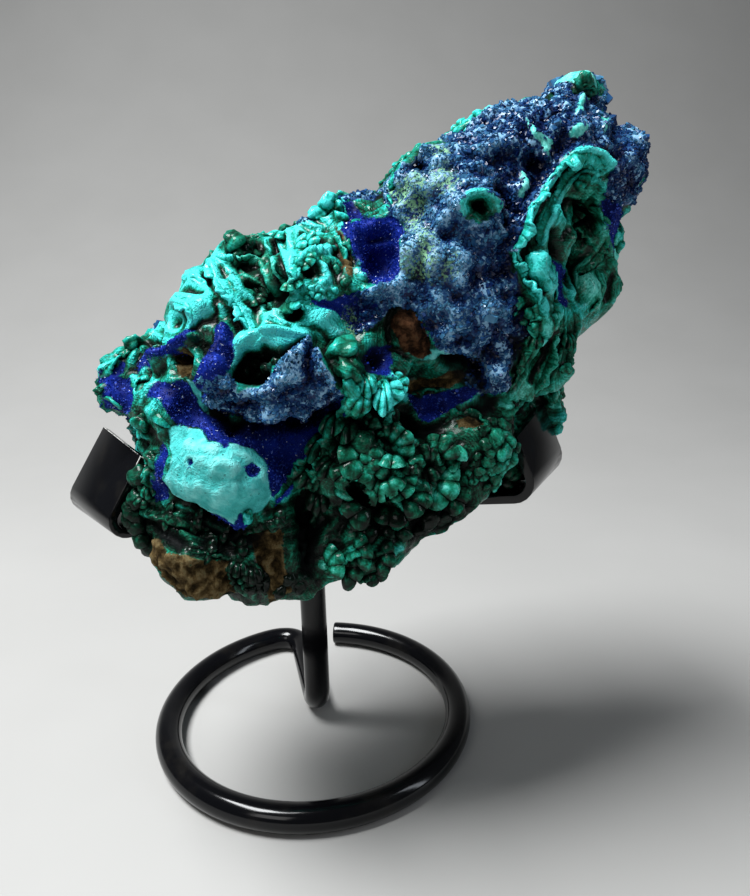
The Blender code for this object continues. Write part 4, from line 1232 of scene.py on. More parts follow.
# %% The layers put together
RAGGED_AND_SHARP = {"mint": (0.4,), "velvet": (0.7,), "drip": (0.6,), "black": (0.8, 1.1), "dust": (1.6, 0.9)}
over = {mineral: covered(mineral, *RAGGED_AND_SHARP.get(mineral, ())) for mineral in lay}
over["dust"] = over["dust"] * stone.noise(0.5, detail=2).between(0.42, 0.6)
layers = [  # colour, where, roughness, bumps
    (earth_colour, over["earth"], 0.85, rubble * 2.4),
    (mint_colour, over["mint"], 0.6, mint_height),
    (crystal_colour, over["crystal"], 0.36, grain * 0.8 + fine_grain * 0.6),
    (velvet_colour, over["velvet"], 0.5, pile_glint * 0.8),
    (rust_colour, over["rust"], 0.75, rubble * 2.0),
    ((0.22, 0.46, 0.26), over["dust"] * 0.9, 0.9, fine_grain * 0.6),
    (drip_colour, over["drip"], 0.45, silk * 0.6),
    # near-black painted shade where the black outlines lie
    ((0.0015, 0.0020, 0.0025), over["black"] * 0.92, 0.6, silk * 0.5),
]
colour, roughness, bumps = malachite_colour, 0.42 - crests * 0.1, malachite_height
for layer_colour, where, layer_roughness, layer_bumps in layers:
    colour = stone.mix(where, colour, layer_colour)
    roughness = roughness + where * (layer_roughness - roughness)
    bumps = bumps + where * (layer_bumps - bumps)
# Painted shade: where little open air is seen, every mineral is painted nearly black.
IN_THE_DARK = (0.0008, 0.0012, 0.0016)
colour = stone.mix((1 - opened).between(0.35, 0.85) * 0.9, colour, IN_THE_DARK)
roughness = roughness + (1 - opened).between(0.25, 0.7) * 0.5
glossy = opened.between(0.35, 0.85) * (0.10 + 0.24 * stone.noise(6, detail=2).between(0.4, 0.6))
for mineral in ("black", "earth", "rust", "dust", "velvet"):
    glossy = glossy * (1 - over[mineral])
glossy = glossy * (1 - over["mint"] * 0.8)
stone.wear(
    Base_Color=colour, Roughness=roughness, Specular_IOR_Level=0.05, Coat_Weight=glossy, Coat_Roughness=0.22,
)
stone.relief(bumps, 0.38, 0.85)
put_on(skin, stone)
print(len(stone.nodes), "nodes in the stone's finish")

# %% [markdown]
# ## Balls and petals of malachite
# Low on the show side malachite grew as clusters of balls, like grapes, and as small
# petals of three lobes with dark creases between them. They stand free of the skin, so
# they are pieces of their own, and each sits where a line of sight meets the skin. One
# ball and one petal are modelled, and each copy is stretched and turned a little.

# %% Where a line of sight meets the skin
def tree_of(pieces):
    """One search tree over the faces of several pieces."""
    points, sides = [], []
    for piece in pieces:
        start = len(points)
        points.extend(v.co.copy() for v in piece.data.vertices)
        sides.extend([start + k for k in p.vertices] for p in piece.data.polygons)
    return BVHTree.FromPolygons(points, sides)


skin_tree = tree_of([skin])


def seat(across, down):
    """The place on the skin that the camera sees there, and the way that it faces."""
    place, normal, _, _ = skin_tree.ray_cast(EYE, sight_line(across, down))
    return place, normal


def new_model(name, add, **settings):
    deselect()
    add(**settings)
    model = bpy.context.active_object
    model.name = name
    return model


def new_piece(name, points, sides):
    mesh = bpy.data.meshes.new(name)
    mesh.from_pydata(points, [], sides)
    piece = bpy.data.objects.new(name, mesh)
    bpy.context.scene.collection.objects.link(piece)
    return piece


def points_and_sides(model):
    return [v.co.copy() for v in model.data.vertices], [tuple(p.vertices) for p in model.data.polygons]


EDGE_MARGIN = 0.25 * MM  # what grows on the stone keeps this far inside the solid's box


def joined(name, parts):
    """One piece of several copies: each has its points, its faces and a tone for each point."""
    points, sides, tones = [], [], []
    for part_points, part_sides, part_tones in parts:
        start = len(points)
        points.extend(part_points)
        sides.extend([tuple(start + i for i in side) for side in part_sides])
        tones.extend(part_tones)
    points = np.clip(np.array(points), lowest + EDGE_MARGIN, highest - EDGE_MARGIN)
    piece = new_piece(name, points.tolist(), sides)
    darker, greener = shade_at(seen_at(points_of(piece)))
    remember(piece, "tone", np.array(tones) - darker)
    remember(piece, "emerald", greener)
    only(piece)
    bpy.ops.object.shade_smooth()
    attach(piece, "root")
    print(size_of(piece))
    return piece


# %% The balls
BALLS = [  # across, down, radius, tone
    (536, 268, 12, 0.85), (542, 282, 9, 0.8), (498, 435, 8, 0.55), (505, 451, 8, 0.58), (485, 445, 7, 0.39),
    (512, 441, 6, 0.62), (499, 466, 7, 0.56), (514, 458, 6, 0.64), (488, 462, 6, 0.48), (480, 471, 5, 0.43),
    (495, 480, 6, 0.5), (478, 456, 5, 0.33), (504, 424, 6, 0.47), (509, 474, 5, 0.55), (484, 431, 5, 0.31),
    (492, 421, 5, 0.35), (472, 464, 4, 0.39), (468, 473, 4, 0.55), (476, 481, 4, 0.58), (503, 483, 4, 0.47),
    (486, 487, 4, 0.35), (513, 428, 5, 0.55), (517, 449, 4, 0.55), (491, 453, 5, 0.47), (506, 462, 4, 0.61),
    (493, 473, 4, 0.62), (484, 478, 4, 0.55), (470, 482, 3, 0.56), (463, 477, 3, 0.55), (365, 444, 11, 0.34),
    (374, 425, 6, 0.42), (370, 434, 4, 0.38), (381, 432, 4, 0.55), (356, 432, 4, 0.3), (378, 446, 5, 0.35),
    (352, 450, 5, 0.35), (386, 424, 4, 0.5), (390, 430, 3, 0.6), (430, 522, 9, 0.22), (446, 518, 8, 0.24),
    (460, 511, 7, 0.26), (418, 530, 6, 0.22), (404, 535, 6, 0.45), (391, 532, 6, 0.42), (256, 362, 6, 0.12),
    (266, 370, 6, 0.15), (246, 372, 5, 0.1), (258, 376, 5, 0.12), (236, 380, 5, 0.2), (262, 356, 4, 0.14),
    (274, 362, 4, 0.16), (311, 288, 4, 0.8), (325, 284, 4, 0.8), (335, 291, 4, 0.72), (318, 296, 4, 0.76),
    (306, 298, 3, 0.7), (329, 295, 3, 0.66), (316, 281, 3, 0.7), (322, 290, 3, 0.85), (312, 295, 3, 0.8),
    (346, 282, 5, 0.4), (338, 270, 5, 0.4), (348, 292, 4, 0.35), (520, 303, 5, 0.5), (529, 314, 5, 0.5),
    (534, 327, 4, 0.5), (524, 322, 4, 0.4), (516, 312, 4, 0.45), (538, 318, 4, 0.6),
]
KNOBS = [  # the same, for the uneven ones
    (352, 391, 9, 0.62), (354, 406, 9, 0.56), (363, 398, 6, 0.5), (372, 386, 6, 0.66), (338, 350, 12, 0.5),
    (346, 368, 12, 0.42), (356, 382, 7, 0.55), (366, 420, 6, 0.3), (396, 416, 6, 0.3), (446, 446, 7, 0.66),
    (457, 453, 7, 0.72), (452, 465, 6, 0.6), (430, 452, 6, 0.5), (414, 462, 6, 0.5), (398, 520, 9, 0.5),
    (238, 242, 11, 0.42), (250, 247, 9, 0.38), (243, 256, 8, 0.34), (232, 252, 6, 0.4), (256, 254, 6, 0.45),
    (326, 204, 7, 0.74), (338, 207, 7, 0.72), (318, 213, 6, 0.74), (340, 217, 6, 0.6), (118, 342, 9, 0.56),
    (132, 340, 8, 0.52), (109, 352, 6, 0.42), (98, 391, 5, 0.34), (126, 354, 5, 0.4), (141, 424, 6, 0.45),
    (150, 461, 6, 0.4), (142, 490, 5, 0.32), (140, 541, 8, 0.4), (247, 518, 6, 0.7), (566, 368, 6, 0.5),
    (571, 380, 6, 0.5), (584, 84, 9, 0.38), (591, 92, 6, 0.4), (575, 91, 6, 0.35), (240, 580, 6, 0.3),
    (250, 590, 6, 0.28), (262, 576, 5, 0.22), (290, 580, 6, 0.2), (300, 588, 5, 0.25), (280, 592, 5, 0.2),
    (330, 572, 6, 0.5), (344, 576, 6, 0.5), (300, 262, 5, 0.6), (334, 250, 6, 0.6), (326, 262, 5, 0.5),
    (346, 246, 5, 0.55),
]
IN_THE_HOOKS = [  # place and radius in mm, and tone, of the lumps that the stone pushes into the hooks
    ((-40.8, -22.6, 76.8), 2.0, 0.30), ((-42.0, -22.6, 75.3), 2.0, 0.27), ((-43.0, -18.6, 73.9), 3.5, 0.21),
    ((-42.9, -18.6, 71.0), 2.2, 0.18), ((-42.0, -22.6, 72.5), 3.0, 0.21), ((-43.6, -22.6, 71.0), 1.7, 0.18),
    ((-40.1, -26.6, 72.3), 2.9, 0.24), ((-41.7, -26.6, 71.2), 1.9, 0.18), ((-38.9, -30.2, 79.4), 2.2, 0.30),
    ((-40.1, -30.2, 75.3), 2.1, 0.27), ((-41.4, -30.2, 73.9), 1.4, 0.24), ((-40.7, -30.2, 72.7), 2.0, 0.24),
    ((-41.6, -30.2, 71.7), 1.5, 0.21), ((-40.4, -30.4, 70.4), 2.1, 0.24), ((-39.7, -30.4, 67.9), 2.2, 0.30),
    ((-38.6, -30.4, 66.2), 1.9, 0.24), ((28.3, -26.6, 76.0), 2.9, 0.21), ((29.6, -22.6, 74.6), 2.1, 0.18),
    ((29.6, -26.6, 74.7), 1.9, 0.18), ((31.1, -26.6, 75.8), 2.0, 0.27), ((32.4, -22.6, 74.4), 1.6, 0.18),
    ((27.1, -30.4, 77.3), 2.2, 0.30), ((28.3, -30.4, 76.1), 1.8, 0.24), ((27.4, -30.2, 74.4), 1.3, 0.18),
    ((31.4, -26.6, 74.7), 1.5, 0.18),
]


def drawn_ball():
    ball = new_model("ball", bpy.ops.mesh.primitive_ico_sphere_add, subdivisions=3, radius=1)
    with edit_mode():
        bpy.ops.transform.vertex_random(offset=0.05, uniform=0.0, normal=1.0, seed=4)
        bpy.ops.transform.resize(value=(1.0, 1.0, 0.85))
    modify(ball, "SMOOTH", factor=0.5, iterations=2)
    return ball


def copies_of_balls(model, wanted, uneven, seed, sunk=0.25):
    """Each ball sits sunk radii deeper than the skin, stretched and turned its own way."""
    shape, sides = points_and_sides(model)
    chance = random.Random(seed)
    wide = 1 - uneven * 0.5, 1 + uneven
    for place, normal, radius, tone in wanted:
        spin = Matrix.Rotation(chance.uniform(0, math.tau), 3, "Z")
        turn = normal.to_track_quat("Z", "Y").to_matrix() @ spin
        stretch = Matrix.Diagonal([chance.uniform(*wide), chance.uniform(*wide), chance.uniform(0.85, 1.1)])
        middle = place - normal * radius * sunk
        shift = Vector((chance.uniform(0, 90), chance.uniform(0, 90), 0))
        points, tones = [], []
        for p in shape:
            bulge = 1.4 * noise.noise(p * 1.1 + shift) + 0.7 * noise.noise(p * 2.6 + shift)
            swell = 1 + uneven * bulge
            points.append(middle + turn @ (stretch @ p) * radius * swell)
            # Paler on the side turned out and on bulges, darker towards the skin: painted highlight and painted
            # shade
            tones.append(tone + 0.13 * p.z + 0.5 * (swell - 1))
        yield points, sides, tones


def depth_of(place):
    return (place - EYE).dot(forward)


def seated(listed):
    """Places, normals, radii in metres and tones of what is listed in frame units."""
    wanted = []
    for across, down, radius, tone_here in listed:
        place, normal = seat(across, down)
        if place is not None:
            wanted.append((place, normal, radius * 1.1 * depth_of(place) / LENS_PIXELS, tone_here))
    return wanted


ball = drawn_ball()
hooked = [(Vector(place) * MM, -forward, radius * 0.95 * MM, dark) for place, radius, dark in IN_THE_HOOKS]
balls = joined("malachite_balls", copies_of_balls(ball, seated(BALLS), 0.26, 5))
knobs = joined("malachite_knobs", copies_of_balls(ball, seated(KNOBS), 0.42, 6))
hook_lumps = joined("malachite_in_the_hooks", copies_of_balls(ball, hooked, 0.16, 7, sunk=0))

# %% Clusters on the sides and the back
CLUSTERS, LUMPS_EACH = 54, 11
BOX_MARGIN, BARE_FOOT = 2.6, 12  # mm from the box's sides, and from its foot


def clusters_behind():
    """Knots of lumps of several sizes, where malachite lies out of the camera's sight."""
    chance = random.Random(12)
    raised, ways_out = points_of(skin), outward(skin)
    inside_box = ((raised > lowest + BOX_MARGIN * MM) & (raised < highest - BOX_MARGIN * MM)).all(axis=1)
    free = (shown < 0.2) & (others < 0.3) & inside_box & (raised[:, 2] > lowest[2] + BARE_FOOT * MM)
    for _ in range(CLUSTERS):
        centre = chance.choice(np.flatnonzero(free).tolist())
        reach, largest = chance.uniform(2.5, 8.0) * MM, chance.uniform(1.2, 2.8) * MM
        near = np.flatnonzero(free & (np.linalg.norm(raised - raised[centre], axis=1) < reach)).tolist()
        for k in chance.sample(near, min(len(near), LUMPS_EACH)):
            radius, paler = largest * chance.uniform(0.4, 1.0), chance.uniform(-0.05, 0.15)
            yield Vector(raised[k]), Vector(ways_out[k]), radius, tone[k] + paler


behind = joined("malachite_behind", copies_of_balls(ball, clusters_behind(), 0.42, 6))
bpy.data.objects.remove(ball)

# %% The petals
PETALS = [  # across, down, width, length, the way it points, how far it leans out, tone
    (358, 466, 50, 38, 215, 35, 0.60), (372, 462, 34, 28, 165, 45, 0.64), (348, 478, 36, 28, 235, 40, 0.52),
    (362, 488, 46, 34, 205, 35, 0.54), (358, 506, 44, 30, 195, 35, 0.42), (366, 522, 44, 28, 195, 25, 0.26),
    (388, 460, 34, 28, 250, 40, 0.84), (380, 462, 32, 24, 200, 45, 0.62), (400, 442, 34, 28, 30, 45, 0.72),
    (394, 434, 28, 22, 70, 45, 0.5), (386, 486, 38, 34, 280, 40, 0.72), (402, 486, 34, 28, 320, 45, 0.70),
    (414, 498, 38, 32, 345, 40, 0.64), (396, 512, 42, 30, 280, 30, 0.42), (442, 486, 46, 32, 335, 45, 0.86),
    (456, 494, 40, 26, 350, 35, 0.56), (442, 448, 34, 26, 60, 45, 0.58), (426, 456, 28, 24, 100, 45, 0.44),
    (430, 470, 30, 24, 300, 40, 0.4), (408, 466, 28, 24, 250, 40, 0.42), (334, 562, 34, 24, 25, 40, 0.72),
    (362, 552, 36, 22, 10, 35, 0.6), (352, 570, 40, 22, 340, 30, 0.48), (384, 558, 34, 22, 350, 35, 0.5),
    (378, 572, 30, 18, 320, 30, 0.42), (382, 396, 20, 40, 268, 20, 1.0), (390, 392, 26, 26, 340, 40, 1.02),
    (398, 384, 22, 20, 20, 40, 0.9), (360, 400, 24, 30, 250, 25, 0.72), (366, 384, 20, 26, 275, 25, 0.8),
    (336, 424, 26, 44, 262, 35, 0.55), (322, 446, 26, 42, 250, 35, 0.48), (348, 432, 22, 40, 268, 35, 0.42),
    (306, 474, 26, 32, 232, 35, 0.5), (330, 466, 24, 30, 235, 30, 0.36), (318, 500, 22, 28, 262, 30, 0.25),
    (262, 288, 24, 20, 305, 45, 0.5), (258, 300, 22, 16, 320, 40, 0.5), (300, 248, 30, 20, 350, 50, 0.92),
    (312, 244, 26, 18, 10, 45, 0.85), (308, 262, 22, 18, 330, 45, 0.7), (282, 236, 26, 20, 260, 40, 0.82),
    (292, 286, 22, 18, 280, 40, 0.8), (574, 214, 24, 20, 330, 45, 0.5), (580, 180, 24, 18, 350, 45, 0.66),
    (534, 340, 18, 26, 255, 45, 0.5), (566, 340, 18, 26, 265, 45, 0.5), (238, 566, 20, 22, 260, 40, 0.34),
    (252, 572, 20, 22, 280, 40, 0.32), (276, 520, 24, 18, 330, 40, 0.4), (196, 522, 30, 14, 340, 35, 0.34),
    (222, 536, 30, 14, 330, 35, 0.32), (168, 516, 28, 14, 345, 35, 0.36), (210, 550, 28, 14, 345, 35, 0.3),
    (240, 550, 26, 14, 350, 35, 0.32), (132, 486, 18, 18, 220, 35, 0.45), (142, 500, 20, 16, 230, 35, 0.42),
    (126, 508, 18, 16, 330, 30, 0.4), (150, 490, 18, 20, 280, 40, 0.55), (128, 438, 20, 14, 320, 40, 0.55),
    (114, 428, 18, 12, 320, 40, 0.5),
]
PETAL_THICKNESS, PETAL_SPREAD, PETAL_FOOT, PETAL_WIDTH = 0.16, 62, 0.25, 0.62


def lobe_at(side):
    """1 in the middle of a petal's three lobes and 0 in the creases between them."""
    return abs(math.cos(1.5 * math.pi * side))


def drawn_petal():
    """A petal that grows along Y, with three rounded lobes, arched over their length."""
    petal = new_model("petal", bpy.ops.mesh.primitive_grid_add, x_subdivisions=18, y_subdivisions=8, size=1)
    for v in petal.data.vertices:
        side, out = v.co.x * 2, v.co.y + 0.5
        angle, lobe = side * math.radians(PETAL_SPREAD), lobe_at(side)
        reach = (PETAL_FOOT + (1 - PETAL_FOOT) * out) * (1 + 0.16 * (lobe - 0.6) * out)
        v.co.x = PETAL_WIDTH * reach * math.sin(angle)
        v.co.y = reach * math.cos(angle) - PETAL_FOOT
        v.co.z = 0.26 * math.sin(0.95 * math.pi * out) * (1 - 0.45 * side * side) + 0.13 * out * (lobe - 0.6)
    modify(petal, "SOLIDIFY", thickness=PETAL_THICKNESS, offset=0)
    modify(petal, "BEVEL", width=0.04, segments=2, limit_method="ANGLE")
    return petal


def petal_tone(p):
    """Palest on the top of each lobe's arch and dark in the creases, as painted highlight and painted shade, with a
    fine pale lip.
    """
    across, along = p.x / PETAL_WIDTH, p.y + PETAL_FOOT
    out = (math.hypot(across, along) - PETAL_FOOT) / (1 - PETAL_FOOT)
    lobe = lobe_at(math.degrees(math.atan2(across, along)) / PETAL_SPREAD)
    middle, lip = math.exp(-((out - 0.5) / 0.3) ** 2), 0.14 if out > 0.97 else -0.08
    return 0.38 * middle * (0.35 + 0.65 * lobe) - 0.20 * (1 - lobe) + lip


def copies_of_petals(model):
    shape, sides = points_and_sides(model)
    chance = random.Random(8)
    for across, down, width, length, way, lean, tone_here in PETALS:
        place, normal = seat(across, down)
        if place is None:
            continue
        per_unit = depth_of(place) / LENS_PIXELS
        normal = (normal * 0.35 - forward * 0.65 + upward * 0.15).normalized()
        flat = right * math.cos(math.radians(way)) + upward * math.sin(math.radians(way))
        flat = (flat - normal * flat.dot(normal)).normalized()
        tilt = math.radians(lean * 0.6 + chance.uniform(-8, 8))
        along = flat * math.cos(tilt) + normal * math.sin(tilt)
        across_way = along.cross(normal).normalized()
        face_way = across_way.cross(along)
        start = place - along * length * per_unit * 0.25
        points = [
            start + across_way * p.x * width * per_unit + along * p.y * length * per_unit
            + face_way * p.z * length * per_unit * 0.8 for p in shape
        ]
        yield points, sides, [tone_here - 0.11 + petal_tone(p) for p in shape]


petal = drawn_petal()
petals = joined("malachite_petals", copies_of_petals(petal))
bpy.data.objects.remove(petal)

# %% [markdown]
# Where malachite grew as sheets, their edges stand proud of the skin as thin crumpled
# lips. Each lip is a strip that is led along a stroke: its foot is sunk in the skin, it
# leans to one side or the other as it goes, and its thin free edge is the palest part.

# %% The lips
LIPS = [  # height in mm, lean in degrees, tone, path
    (1.6, 30, 0.92, 206, 254, 213, 270, 222, 286, 234, 300, 246, 316, 250, 328),
    (1.3, -30, 0.9, 214, 258, 226, 262, 240, 264, 256, 260),
    (1.6, 40, 0.95, 286, 232, 300, 236, 314, 234, 330, 238),
    (1.6, -35, 0.92, 296, 246, 308, 252, 322, 256, 334, 254), (1.3, 30, 0.85, 300, 262, 298, 276, 294, 292),
    (1.2, -30, 0.85, 262, 240, 268, 256, 276, 276, 284, 292),
    (1.5, 30, 0.8, 280, 310, 288, 301, 300, 300, 308, 308),
    (0.8, 30, 0.9, 156, 332, 154, 316, 163, 304, 175, 300, 188, 305, 195, 318),
    (0.9, -30, 0.88, 178, 284, 192, 279, 206, 284),
    (1.2, 30, 0.85, 316, 214, 320, 203, 332, 198, 344, 204, 348, 214),
    (1.2, -30, 0.7, 330, 236, 338, 246, 342, 262), (1.4, 35, 0.7, 92, 384, 100, 372, 112, 362, 122, 352),
    (1.2, -30, 0.66, 100, 398, 112, 404, 124, 414), (1.4, 30, 0.8, 132, 398, 134, 382, 144, 373, 156, 378),
    (1.2, -35, 0.6, 112, 414, 126, 424, 140, 436, 152, 444), (1.3, 30, 0.7, 150, 402, 160, 414, 172, 426),
    (1.4, 30, 0.5, 146, 456, 152, 466, 150, 480, 158, 496),
    (1.3, -30, 0.45, 140, 498, 148, 505, 160, 510, 176, 512),
    (1.6, 30, 0.45, 150, 512, 170, 514, 192, 520, 214, 530),
    (1.5, -30, 0.36, 160, 524, 184, 530, 208, 540, 236, 548),
    (1.4, 30, 0.4, 240, 534, 256, 526, 272, 518, 290, 508), (1.3, 30, 0.36, 180, 544, 206, 550, 232, 556),
    (2.0, 35, 0.66, 352, 404, 340, 424, 333, 444, 327, 462, 314, 478, 298, 492),
    (1.8, -30, 0.5, 356, 414, 348, 432, 344, 450, 336, 468),
    (1.8, 30, 0.55, 324, 436, 316, 454, 304, 472, 290, 488, 276, 502),
    (1.6, -30, 0.4, 316, 478, 306, 494, 300, 512), (1.5, 30, 0.36, 318, 494, 320, 512, 316, 530),
    (1.6, 40, 0.92, 372, 398, 380, 388, 392, 384, 406, 394), (1.4, 30, 0.85, 346, 384, 356, 380, 368, 382),
    (1.3, 30, 0.5, 410, 392, 424, 386, 440, 388), (1.5, -30, 0.5, 446, 424, 460, 416, 476, 418, 486, 426),
    (1.5, 30, 0.7, 324, 566, 340, 556, 358, 548, 374, 546), (1.4, -30, 0.5, 332, 576, 352, 568, 374, 560, 394, 550),
    (1.3, 30, 0.45, 348, 578, 370, 574, 392, 564),
    (2.4, -35, 0.85, 608, 172, 604, 162, 592, 152, 576, 151, 562, 160, 550, 176, 540, 192, 528, 212, 520, 234,
        510, 248),
    (1.6, 35, 0.8, 598, 172, 584, 168, 570, 178, 560, 194, 552, 212, 545, 230, 541, 246),
    (1.8, -30, 0.85, 510, 250, 514, 268, 524, 284, 534, 294, 540, 308),
    (1.4, 30, 0.85, 552, 254, 556, 272, 558, 294, 552, 310), (1.4, 35, 0.6, 570, 188, 584, 182, 600, 184),
    (1.4, -35, 0.55, 566, 202, 580, 206, 596, 214, 608, 226), (1.4, 35, 0.5, 566, 220, 580, 224, 592, 236),
    (1.4, -35, 0.55, 610, 232, 600, 248, 588, 262, 574, 272),
    (1.4, 35, 0.6, 600, 270, 606, 286, 600, 304, 588, 316), (1.3, -30, 0.5, 614, 258, 624, 272, 622, 290),
    (1.4, 30, 0.45, 576, 316, 588, 324, 598, 318), (1.8, 30, 0.7, 538, 304, 541, 324, 537, 344, 528, 362),
    (1.8, -30, 0.66, 552, 304, 555, 328, 549, 352, 541, 374, 531, 394),
    (1.6, 30, 0.6, 563, 304, 565, 328, 558, 354, 552, 380), (1.6, -30, 0.55, 524, 338, 520, 358, 508, 380),
    (1.4, 30, 0.5, 531, 350, 524, 372, 512, 392), (1.4, -30, 0.5, 572, 312, 574, 330, 566, 352, 562, 372),
    (1.3, 30, 0.6, 498, 406, 510, 410, 520, 402), (1.2, 30, 0.45, 574, 78, 584, 76, 594, 84, 597, 94),
    (1.0, 30, 0.85, 512, 100, 528, 90, 546, 84, 564, 77), (1.2, 30, 0.75, 384, 186, 392, 196, 396, 208),
    (1.2, -30, 0.5, 352, 206, 364, 212, 376, 210), (1.4, 30, 0.36, 228, 566, 238, 578, 244, 594),
    (1.4, -30, 0.36, 248, 562, 256, 576, 254, 592), (1.3, 30, 0.3, 262, 566, 272, 580, 268, 596),
]
LIP_ROWS, LIP_STEP, LIP_FOOT, LIP_LEAP = 7, 1.2, 0.7, 0.8
LIP_LEAST, LIP_FULL = 9, 24  # seats: the fewest that make a lip, and enough for its full height


def resampled(path, step):
    """Points along a path, step apart."""
    corners = [Vector(p) for p in corners_of(path)]
    found = []
    for a, b in zip(corners, corners[1:]):
        count = max(1, round((b - a).length / step))
        found.extend(a.lerp(b, k / count) for k in range(count))
    return found + [corners[-1]]


def evened(values, rounds):
    """The values with each one drawn towards the two beside it, rounds times."""
    for _ in range(rounds):
        inner = [(a + b * 2 + c) / 4 for a, b, c in zip(values, values[1:], values[2:])]
        values = [values[0], *inner, values[-1]]
    return values


def unbroken(seats):
    """Runs of seats in which no step along the skin is longer than LIP_LEAP mm."""
    run = []
    for here in seats:
        if run and (here[0] is None or (here[0] - run[-1][0]).length > LIP_LEAP * MM):
            yield run
            run = []
        if here[0] is not None:
            run.append(here)
    yield run


def runs_of_seats():
    for height, lean, tone_here, *path in LIPS:
        for run in unbroken([seat(*p) for p in evened(resampled(path, LIP_STEP), 4)]):
            yield height, lean, tone_here, run


def drawn_lips():
    for number, (height, lean, tone_here, seats) in enumerate(runs_of_seats()):
        if len(seats) < LIP_LEAST:
            continue
        feet = evened([s[0] for s in seats], 3)
        ups = [n.normalized() for n in evened([s[1] for s in seats], 6)]
        last = len(feet) - 1
        full_height = height * 0.8 * min(1, len(seats) / LIP_FULL)
        points, tones = [], []
        for k, (foot, up) in enumerate(zip(feet, ups)):
            side = (feet[min(k + 1, last)] - feet[max(k - 1, 0)]).normalized().cross(up)
            wave = noise.noise(Vector((k * 0.085, number * 3.7, 0)))
            quick_wave = noise.noise(Vector((k * 0.38, number * 5.1, 4)))
            rounded_end = min(1, 4 * k / last, 4 * (1 - k / last)) ** 0.7
            tall = full_height * (1 + 0.6 * wave + 0.2 * quick_wave) * rounded_end
            bend = math.radians(lean * (1.2 + 0.8 * wave) + 16 * quick_wave)
            for row in range(LIP_ROWS):
                rise = row / (LIP_ROWS - 1)
                turn = bend * (0.4 + rise)
                way = up * math.cos(turn) + side * math.sin(turn)
                points.append(foot - up * LIP_FOOT * MM + way * (tall + LIP_FOOT) * rise * MM)
                # Darker towards the foot, where the lip meets the skin, as painted shade; palest at the free edge
                tones.append(tone_here - 0.28 + 0.38 * rise)
        corners = [r * LIP_ROWS + c for r in range(last) for c in range(LIP_ROWS - 1)]
        yield points, [(k, k + 1, k + LIP_ROWS + 1, k + LIP_ROWS) for k in corners], tones


lips = joined("malachite_lips", drawn_lips())
modify(lips, "SOLIDIFY", thickness=0.42 * MM, offset=0)
only(lips)
with edit_mode("SELECT"):
    bpy.ops.mesh.normals_make_consistent(inside=False)
print(size_of(lips))

# %% [markdown]
# Little light reaches deep clefts, and the finishes paint that shade into their colours.
# So each point is told how much of the open air it sees: rays go out from it to all
# sides, and one that meets the stone again within 7 mm counts less, the sooner it does.

# %% How open each point lies
DIRECTIONS, POINT_STEP, RAY_STEP = 97, 29, 41  # how many, and which a point's rays take in turn
RAY_START, RAY_REACH = 0.12 * MM, 7.0 * MM
count = np.arange(DIRECTIONS)
golden = math.pi * (3 - math.sqrt(5))
heights = 1 - 2 * (count + 0.5) / DIRECTIONS
flat = np.sqrt(1 - heights ** 2)
all_round = np.stack([flat * np.cos(golden * count), flat * np.sin(golden * count), heights], 1)


def openness(piece, tree, rays):
    """How much open air each point sees, from 0 in a deep cleft to 1 on a crest."""
    places, normals = points_of(piece), outward(piece)
    starts, seen = places + normals * RAY_START, np.zeros(len(places))
    for k in range(rays):
        chosen = (np.arange(len(places)) * POINT_STEP + k * RAY_STEP) % DIRECTIONS
        ways = normals + 0.98 * all_round[chosen]
        ways /= np.linalg.norm(ways, axis=1)[:, None]
        for number, (start, way) in enumerate(zip(starts.tolist(), ways.tolist())):
            gap = tree.ray_cast(start, way, RAY_REACH)[3]
            seen[number] += 1 if gap is None else gap / RAY_REACH
    return seen / rays


grown = [balls, knobs, hook_lumps, behind, petals, lips]
everything = tree_of([skin, *grown])
open_skin = openness(skin, everything, 12)
ends = ends_of(skin)
shares = 2 + np.bincount(ends.ravel(), minlength=len(open_skin))
for _ in range(2):
    open_skin = with_neighbours(open_skin * 2, open_skin, ends) / shares
remember(skin, "open", open_skin)
for piece in grown:
    remember(piece, "open", openness(piece, everything, 6))
print("open air: middle", round(float(np.median(open_skin)), 2), "deepest", round(float(open_skin.min()), 2))

# %% Balls and petals share the skin's malachite
lump_finish = Finish("malachite_of_balls_and_petals")
lump_open = lump_finish.measured("open")
# Here and in the base colour below: darker, down to nearly black, where little open air is seen, as painted shade.
lump_tone = lump_finish.measured("tone") - 0.04 + (lump_open - 0.8) * 0.4
lump_colour, lump_height = malachite_of(lump_finish, lump_tone)
lump_finish.wear(
    Base_Color=lump_finish.mix((1 - lump_open).between(0.45, 0.95) * 0.9, lump_colour, IN_THE_DARK),
    Roughness=0.55, Specular_IOR_Level=0.04,
    Coat_Weight=lump_open.between(0.45, 0.95) * 0.26, Coat_Roughness=0.14,
)
lump_finish.relief(lump_height, 0.16, 0.6)
for piece in grown:
    put_on(piece, lump_finish)

# %% [markdown]
# ## Crystals and velvet
# Seen close, the blue parts are not smooth at all. The block is a heap of azurite
# crystals about a millimetre across, each with flat shining sides, and the velvet is a
# pile of needle tips as fine as sugar. One crystal and one needle are modelled, and
# thousands of copies are strewn over the skin wherever the mesh says that the mineral
# lies. So many copies are joined as plain arrays, because an operator for each would
# take an hour.

# %% Strewing copies over the skin
DICE = np.random.default_rng(11)


def faces_of(piece):
    """The normal and the area of each face, and two corners that face each other."""
    faces = piece.data.polygons
    first = read(faces, "loop_start", np.int64, 1)
    corner = read(piece.data.loops, "vertex_index", np.int64, 1)
    areas = read(faces, "area", wide=1)
    return read(faces, "normal"), areas, corner[first], corner[first + 2]


